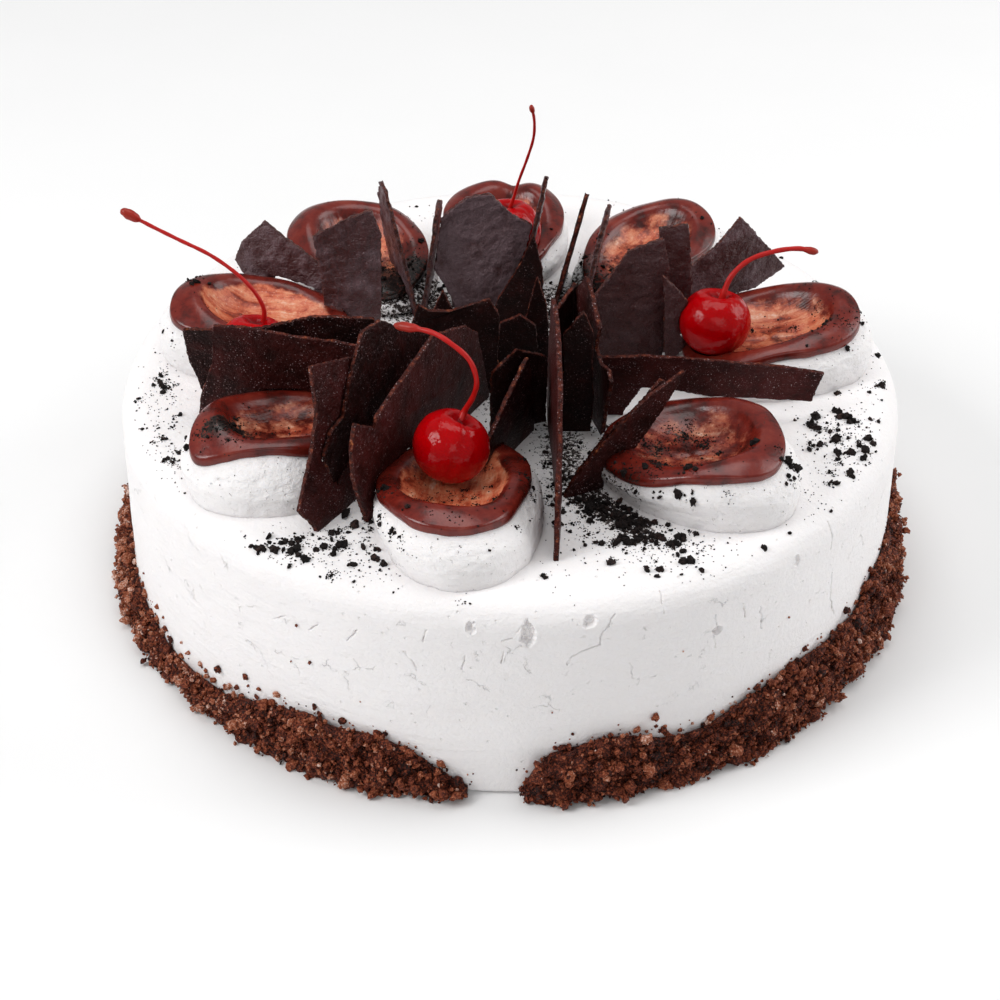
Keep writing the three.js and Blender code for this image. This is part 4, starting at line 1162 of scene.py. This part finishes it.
def model_border_bed(random):
    """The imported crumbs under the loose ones, clumped and creased."""
    piece = merged_copy("crumb_border")
    apply_modifier(piece, "REMESH", mode="VOXEL", voxel_size=0.85 * MM, adaptivity=0.0)
    points = points_of(piece) / MM
    normals = normals_of(piece)
    radius = np.hypot(points[:, 0], points[:, 1])
    outer = np.clip((radius - 118.6) / 1.2, 0, 1)
    coarse, fine = lumps(points, CLUMP_SIZE, CLUMP_SEED), lumps(points, 1.7, 2)
    lift = 3.2 * (coarse - 0.5) + 0.9 * (fine - 0.55) + 0.5 * ripple(points, 1.1, 3)
    points += normals * (outer * lift)[:, None]
    points[:, 2] = np.maximum(points[:, 2], 0.02)
    set_points(piece, points * MM)
    # The bed is darker in the creases between the clumps: painted shade.
    tone = 0.14 + 0.45 * coarse * fine + 0.1 * random.random(len(points))
    set_attribute(piece, "tone", tone)
    return piece


def powder_and_shade_at(points):
    """How thickly fine powder lies at each point: under dense crumbs and among the bark. In the
    crown it also stands in for shade, a painted shade.
    """
    amount = np.zeros(len(points))
    patches = [(*patch[:3], 0.06 * patch.count / patch.spread[0] / patch.spread[1])
               for patch in COOKIE_PATCHES]
    for at, spread, degrees, thick in patches + POWDER_AND_SHADE:
        turn = math.radians(degrees)
        x, y = points[:, 0] - at[0], points[:, 1] - at[1]
        along = (x * math.cos(turn) + y * math.sin(turn)) / spread[0]
        across = (y * math.cos(turn) - x * math.sin(turn)) / spread[1]
        amount += thick * np.exp(-(along ** 2 + across ** 2) / 2)
    return 0.46 * np.clip(amount - 0.35, 0, 1)


def places_on(piece, count, random, keep):
    """Random places on a piece's faces, with their normals, where keep allows them."""
    sides = piece.data.polygons
    centres, normals = rows_of(sides, "center") / MM, rows_of(sides, "normal")
    weight = rows_of(sides, "area", 1)[:, 0] * keep(centres, normals)
    chosen = random.choice(len(weight), count, p=weight / weight.sum())
    return centres[chosen] + random.normal(0, 0.35, (count, 3)), normals[chosen]


def surface_tree(pieces):
    """A search tree over several pieces, to lay crumbs on them."""
    points, faces, start = [], [], 0
    for piece in pieces:
        points += [vertex.co.copy() for vertex in piece.data.vertices]
        faces += [[start + i for i in face.vertices] for face in piece.data.polygons]
        start = len(points)
    return BVHTree.FromPolygons(points, faces)


def cookie_places(tree, random):
    """Where cookie crumbs fell: their places on what lies under them, and their sizes."""
    places, sizes = [], []
    top = 110 * MM
    for patch in COOKIE_PATCHES:
        # Half of them lie in clumps of about 15, the rest by themselves.
        clumps = random.normal(0, 1, (max(1, patch.count // 30), 2)) * patch.spread
        gathered = clumps[random.integers(0, len(clumps), patch.count)]
        gathered = gathered + random.normal(0, 0.75, (patch.count, 2))
        alone = random.normal(0, 1, (patch.count, 2)) * patch.spread
        along, across = np.where(random.random((patch.count, 1)) < 0.5, gathered, alone).T
        turn = math.radians(patch.turn)
        xs = patch.at[0] + along * math.cos(turn) - across * math.sin(turn)
        ys = patch.at[1] + along * math.sin(turn) + across * math.cos(turn)
        share = random.random(patch.count) ** 6.5
        grades = FINEST_COOKIE * (patch.largest / FINEST_COOKIE) ** share
        for x, y, size in zip(xs, ys, grades):
            if math.hypot(x, y) > TOP_EDGE:
                continue
            hit, normal, _, _ = tree.ray_cast(Vector((x * MM, y * MM, top)), Vector((0, 0, -1)))
            if hit is not None and normal.z > 0.2:
                places.append(np.array(hit) / MM + np.array(normal) * 0.12 * size)
                sizes.append(size)
    return np.array(places), np.array(sizes)


# ---- Operators ----


class CAKE_OT_frosting(bpy.types.Operator):
    """Spin, crack and spread the frosted body"""

    bl_idname = "cake.frosting"
    bl_label = "Frosted body"

    def execute(self, context):
        piece = model_frosting(context.scene.cake_sizes)
        material = whipped_cream_material(
            "spread whipped cream", context.scene.cake_colours, True, (0.15, 0.15, 1.0), 0.8)
        finish_piece(piece, "frosted_body", ["cake"], material)
        return {"FINISHED"}


class CAKE_OT_dollops(bpy.types.Operator):
    """Pipe the dollops and press their dishes"""

    bl_idname = "cake.dollops"
    bl_label = "Cream dollops"

    def execute(self, context):
        material = whipped_cream_material(
            "piped whipped cream", context.scene.cake_colours, False, (0.7, 0.7, 1.8), 1.0)
        for name, dollop in DOLLOPS.items():
            piece = model_dollop(dollop, context.scene.cake_sizes)
            finish_piece(piece, "dollop_" + name, ["cream_" + name], material)
        return {"FINISHED"}


class CAKE_OT_ganache(bpy.types.Operator):
    """Pour the ganache into the dollops"""

    bl_idname = "cake.ganache"
    bl_label = "Ganache"

    def execute(self, context):
        material = ganache_material(context.scene.cake_colours)
        for name, dollop in DOLLOPS.items():
            piece = model_ganache(dollop, FILM_SHARES[name], context.scene.cake_sizes)
            finish_piece(piece, "poured_" + name, ["ganache_" + name], material)
        return {"FINISHED"}


class CAKE_OT_cherries(bpy.types.Operator):
    """Set the cherries on the dollops"""

    bl_idname = "cake.cherries"
    bl_label = "Cherries"

    def execute(self, context):
        material = cherry_material(context.scene.cake_colours)
        for seed, (name, cherry) in enumerate(CHERRIES.items(), 1):
            piece = model_cherry(cherry, seed, context.scene.cake_sizes)
            finish_piece(piece, "fruit_" + name, ["cherry_" + name], material)
        return {"FINISHED"}


class CAKE_OT_stems(bpy.types.Operator):
    """Bend the cherries' stems"""

    bl_idname = "cake.stems"
    bl_label = "Stems"

    def execute(self, context):
        material = stem_material(context.scene.cake_colours)
        for name, cherry in CHERRIES.items():
            piece = model_stem(cherry, context.scene.cake_sizes)
            finish_piece(piece, "bent_stem_" + name, ["stem_" + name], material)
        return {"FINISHED"}


class CAKE_OT_bark(bpy.types.Operator):
    """Break the chocolate bark into plates"""

    bl_idname = "cake.bark"
    bl_label = "Chocolate bark"

    def execute(self, context):
        colours = context.scene.cake_colours
        dusty = bark_material("dusty broken chocolate", colours, 0.16, 0.7)
        shiny = bark_material("wrinkled shiny chocolate", colours, 0.45, 1.0)
        for number in range(1, BARK_COUNT + 1):
            node = f"bark_{number:02d}"
            piece = model_plate(node, number)
            material = shiny if number in SHEEN_PAINTED_BARK else dusty
            finish_piece(piece, "plate_" + node, [node], material, smooth_angle=40)
        return {"FINISHED"}


class CAKE_OT_crumb_border(bpy.types.Operator):
    """Press sponge crumbs round the foot of the cake"""

    bl_idname = "cake.crumb_border"
    bl_label = "Crumb border"

    def execute(self, context):
        random = np.random.default_rng(21)
        crumb = (*context.scene.cake_colours.crumb, 1)
        # The palest stops of the ramp stand in partly for glints on the crumbs: painted highlights.
        material = crumb_material("rubbed chocolate sponge", [
            (0.0, linear("#140402")), (0.25, linear("#4c1a0e")), (0.48, crumb),
            (0.7, linear("#a86242")), (0.88, linear("#c8927c")), (1.0, linear("#e6cabe"))],
            0.6, 0.6)
        bed = model_border_bed(random)
        finish_piece(bed, "packed_crumbs", ["crumb_border"], material)

        def outside(centres, normals):
            out = centres[:, :2] / np.linalg.norm(centres[:, :2], axis=1)[:, None]
            facing = (normals[:, :2] * out).sum(1) + 0.8 * np.maximum(normals[:, 2], 0)
            near = np.linalg.norm(centres[:, :2], axis=1) > 117.5
            return np.clip(facing + 0.1, 0, 1) * near * (centres[:, 2] > 0.5)

        for name, count, least, most, power, sink, divisions, pores in BORDER_KINDS:
            places, normals = places_on(bed, count, random, outside)
            sizes = least + (most - least) * random.random(count) ** power
            places += normals * (sink * sizes)[:, None]
            # The crumbs are paler at the left and right, the left above all, where the side
            # softboxes light them, and darker towards the front and back: painted light and shade.
            # They are darker between the clumps and paler on the clumps: painted shade and light.
            turn = np.arctan2(places[:, 1], places[:, 0]) - math.radians(190)
            tones = 0.54 + 0.05 * np.cos(turn) + 0.08 * np.cos(2 * turn)
            tones += 0.14 * random.normal(size=count)
            tones += 0.5 * (lumps(places, CLUMP_SIZE, CLUMP_SEED) - 0.5)
            tones = np.clip(tones, 0.02, 1)
            shapes = crumb_shapes(divisions, 10, 0.26 / divisions ** 1.3, 7 * divisions, pores)
            piece = join_crumbs(shapes, places, sizes, tones, 0.7, 5 + divisions, 0.02)
            finish_piece(piece, name, [], material, smooth_angle=70)

        strays = list(STRAY_CRUMBS)
        for _ in range(STRAY_COUNT):
            degrees = random.uniform(-90, 266)
            up = border_height(degrees) + abs(random.normal(0, 2.4)) - 0.5
            strays.append((degrees, up, 0.4 + 2.2 * random.random() ** 2.5))
        places, sizes = [], []
        for degrees, up, size in strays:
            angle = math.radians(degrees)
            radius = CAKE_RADIUS + float(side_offset(angle, up)) + 0.2 * size
            places.append((radius * math.cos(angle), radius * math.sin(angle), up))
            sizes.append(size)
        tones = np.clip(0.45 + 0.2 * random.normal(size=len(sizes)), 0.05, 1)
        piece = join_crumbs(crumb_shapes(2, 6, 0.15, 33), np.array(places), sizes, tones, 0.5, 7)
        finish_piece(piece, "stray_crumbs", [], material)
        return {"FINISHED"}


class CAKE_OT_cookie_crumbs(bpy.types.Operator):
    """Scatter dark cookie crumbs over the top"""

    bl_idname = "cake.cookie_crumbs"
    bl_label = "Cookie crumbs"

    def execute(self, context):
        random = np.random.default_rng(8)
        cookie = (*context.scene.cake_colours.cookie, 1)
        material = crumb_material("crushed cocoa cookie", [
            (0.0, linear("#0e0808")), (0.5, cookie), (0.85, linear("#2f201d")),
            (1.0, linear("#4a3029"))], 0.5, 0.75)
        names = ["frosted_body"] + ["dollop_" + name for name in DOLLOPS]
        names += ["poured_" + name for name in DOLLOPS]
        tree = surface_tree([bpy.data.objects[name] for name in names])
        places, sizes = cookie_places(tree, random)
        tones = np.clip(0.45 + 0.18 * random.normal(size=len(sizes)), 0, 1)
        for name, kept, shapes, stretch, seed, smooth_angle in (
                ("cookie_crumbs", sizes > DUST_SIZE, (2, 8, 0.2, 51), 0.8, 9, 40),
                ("cookie_dust", sizes <= DUST_SIZE, (1, 6, 0.16, 71), 0.7, 10, None)):
            piece = join_crumbs(
                crumb_shapes(*shapes), places[kept], sizes[kept], tones[kept], stretch, seed)
            finish_piece(piece, name, [], material, smooth_angle)
        return {"FINISHED"}


# ---- Stage ----

LENS = 86.16
SENSOR = 36
CAMERA_PLACE = (0.0, -0.6113, 0.4618)
CAMERA_PITCH = 53.9
CAMERA_YAW = 0.254
CAMERA_ROLL = 0.289

# Name, place, aim, size across and up in metres, and power in watts of each soft light.
LIGHTS = [
    ("left_softbox", (-0.95, -0.35, 0.85), (0, 0, 0.05), (0.6, 0.6), 9.4),
    ("top_softbox", (0.05, 0.25, 1.25), (0, 0, 0.05), (1.0, 0.7), 5.9),
    ("right_softbox", (1.0, 0.25, 0.6), (0, 0, 0.05), (0.7, 0.8), 6.2),
    ("front_fill", (0.35, -1.3, 0.9), (0, 0, 0.05), (0.9, 0.6), 2.2),
]


def build_stage():
    """A pale floor, four soft lights, a white surround and the camera."""
    scene = bpy.context.scene
    deselect_all()
    bpy.ops.mesh.primitive_plane_add(size=6)
    floor = bpy.context.object
    floor.name = "studio_floor"
    floor.data.materials.append(studio_material())

    world = bpy.data.worlds.new("white surround")
    scene.world = world
    world.use_nodes = True
    background = world.node_tree.nodes["Background"]
    background.inputs["Color"].default_value = (1, 1, 1, 1)
    background.inputs["Strength"].default_value = 0.32

    for name, place, aim, size, power in LIGHTS:
        light = bpy.data.lights.new(name, "AREA")
        light.shape = "RECTANGLE"
        light.size, light.size_y = size
        light.energy = power
        toward = (Vector(aim) - Vector(place)).to_track_quat("-Z", "Y").to_matrix().to_4x4()
        put(name, light).matrix_world = Matrix.Translation(place) @ toward

    lens = bpy.data.cameras.new("camera")
    lens.lens = LENS
    lens.sensor_width = SENSOR
    scene.camera = put("camera", lens)
    turned = Matrix.Identity(4)
    for degrees, axis in ((CAMERA_YAW, "Z"), (CAMERA_PITCH, "X"), (CAMERA_ROLL, "Z")):
        turned = turned @ Matrix.Rotation(math.radians(degrees), 4, axis)
    scene.camera.matrix_world = Matrix.Translation(CAMERA_PLACE) @ turned
    scene.view_settings.view_transform = "Standard"


class CAKE_OT_stage(bpy.types.Operator):
    """Set up the floor, lights and camera"""

    bl_idname = "cake.stage"
    bl_label = "Stage"

    def execute(self, context):
        build_stage()
        return {"FINISHED"}


class CAKE_PT_panel(bpy.types.Panel):
    """Lists the steps that build the cake"""

    bl_label = "Black forest cake"
    bl_idname = "CAKE_PT_panel"
    bl_space_type = "VIEW_3D"
    bl_region_type = "UI"
    bl_category = "Cake"

    def draw(self, context):
        column = self.layout.column()
        for name in CakeSizes.__annotations__:
            column.prop(context.scene.cake_sizes, name)
        for name in CakeColours.__annotations__:
            column.prop(context.scene.cake_colours, name)
        for step in STEPS:
            column.operator(step.bl_idname)


STEPS = [
    CAKE_OT_stage, CAKE_OT_frosting, CAKE_OT_dollops, CAKE_OT_ganache, CAKE_OT_cherries,
    CAKE_OT_stems, CAKE_OT_bark, CAKE_OT_crumb_border, CAKE_OT_cookie_crumbs,
]
CLASSES = [CakeSizes, CakeColours, *STEPS, CAKE_PT_panel]


def register():
    for item in CLASSES:
        bpy.utils.register_class(item)
    bpy.types.Scene.cake_sizes = bpy.props.PointerProperty(type=CakeSizes)
    bpy.types.Scene.cake_colours = bpy.props.PointerProperty(type=CakeColours)


def unregister():
    del bpy.types.Scene.cake_colours
    del bpy.types.Scene.cake_sizes
    for item in reversed(CLASSES):
        bpy.utils.unregister_class(item)


def main():
    """Builds the whole cake."""
    register()
    for step in STEPS:
        group, name = step.bl_idname.split(".")
        getattr(getattr(bpy.ops, group), name)()


if __name__ == "__main__":
    main()
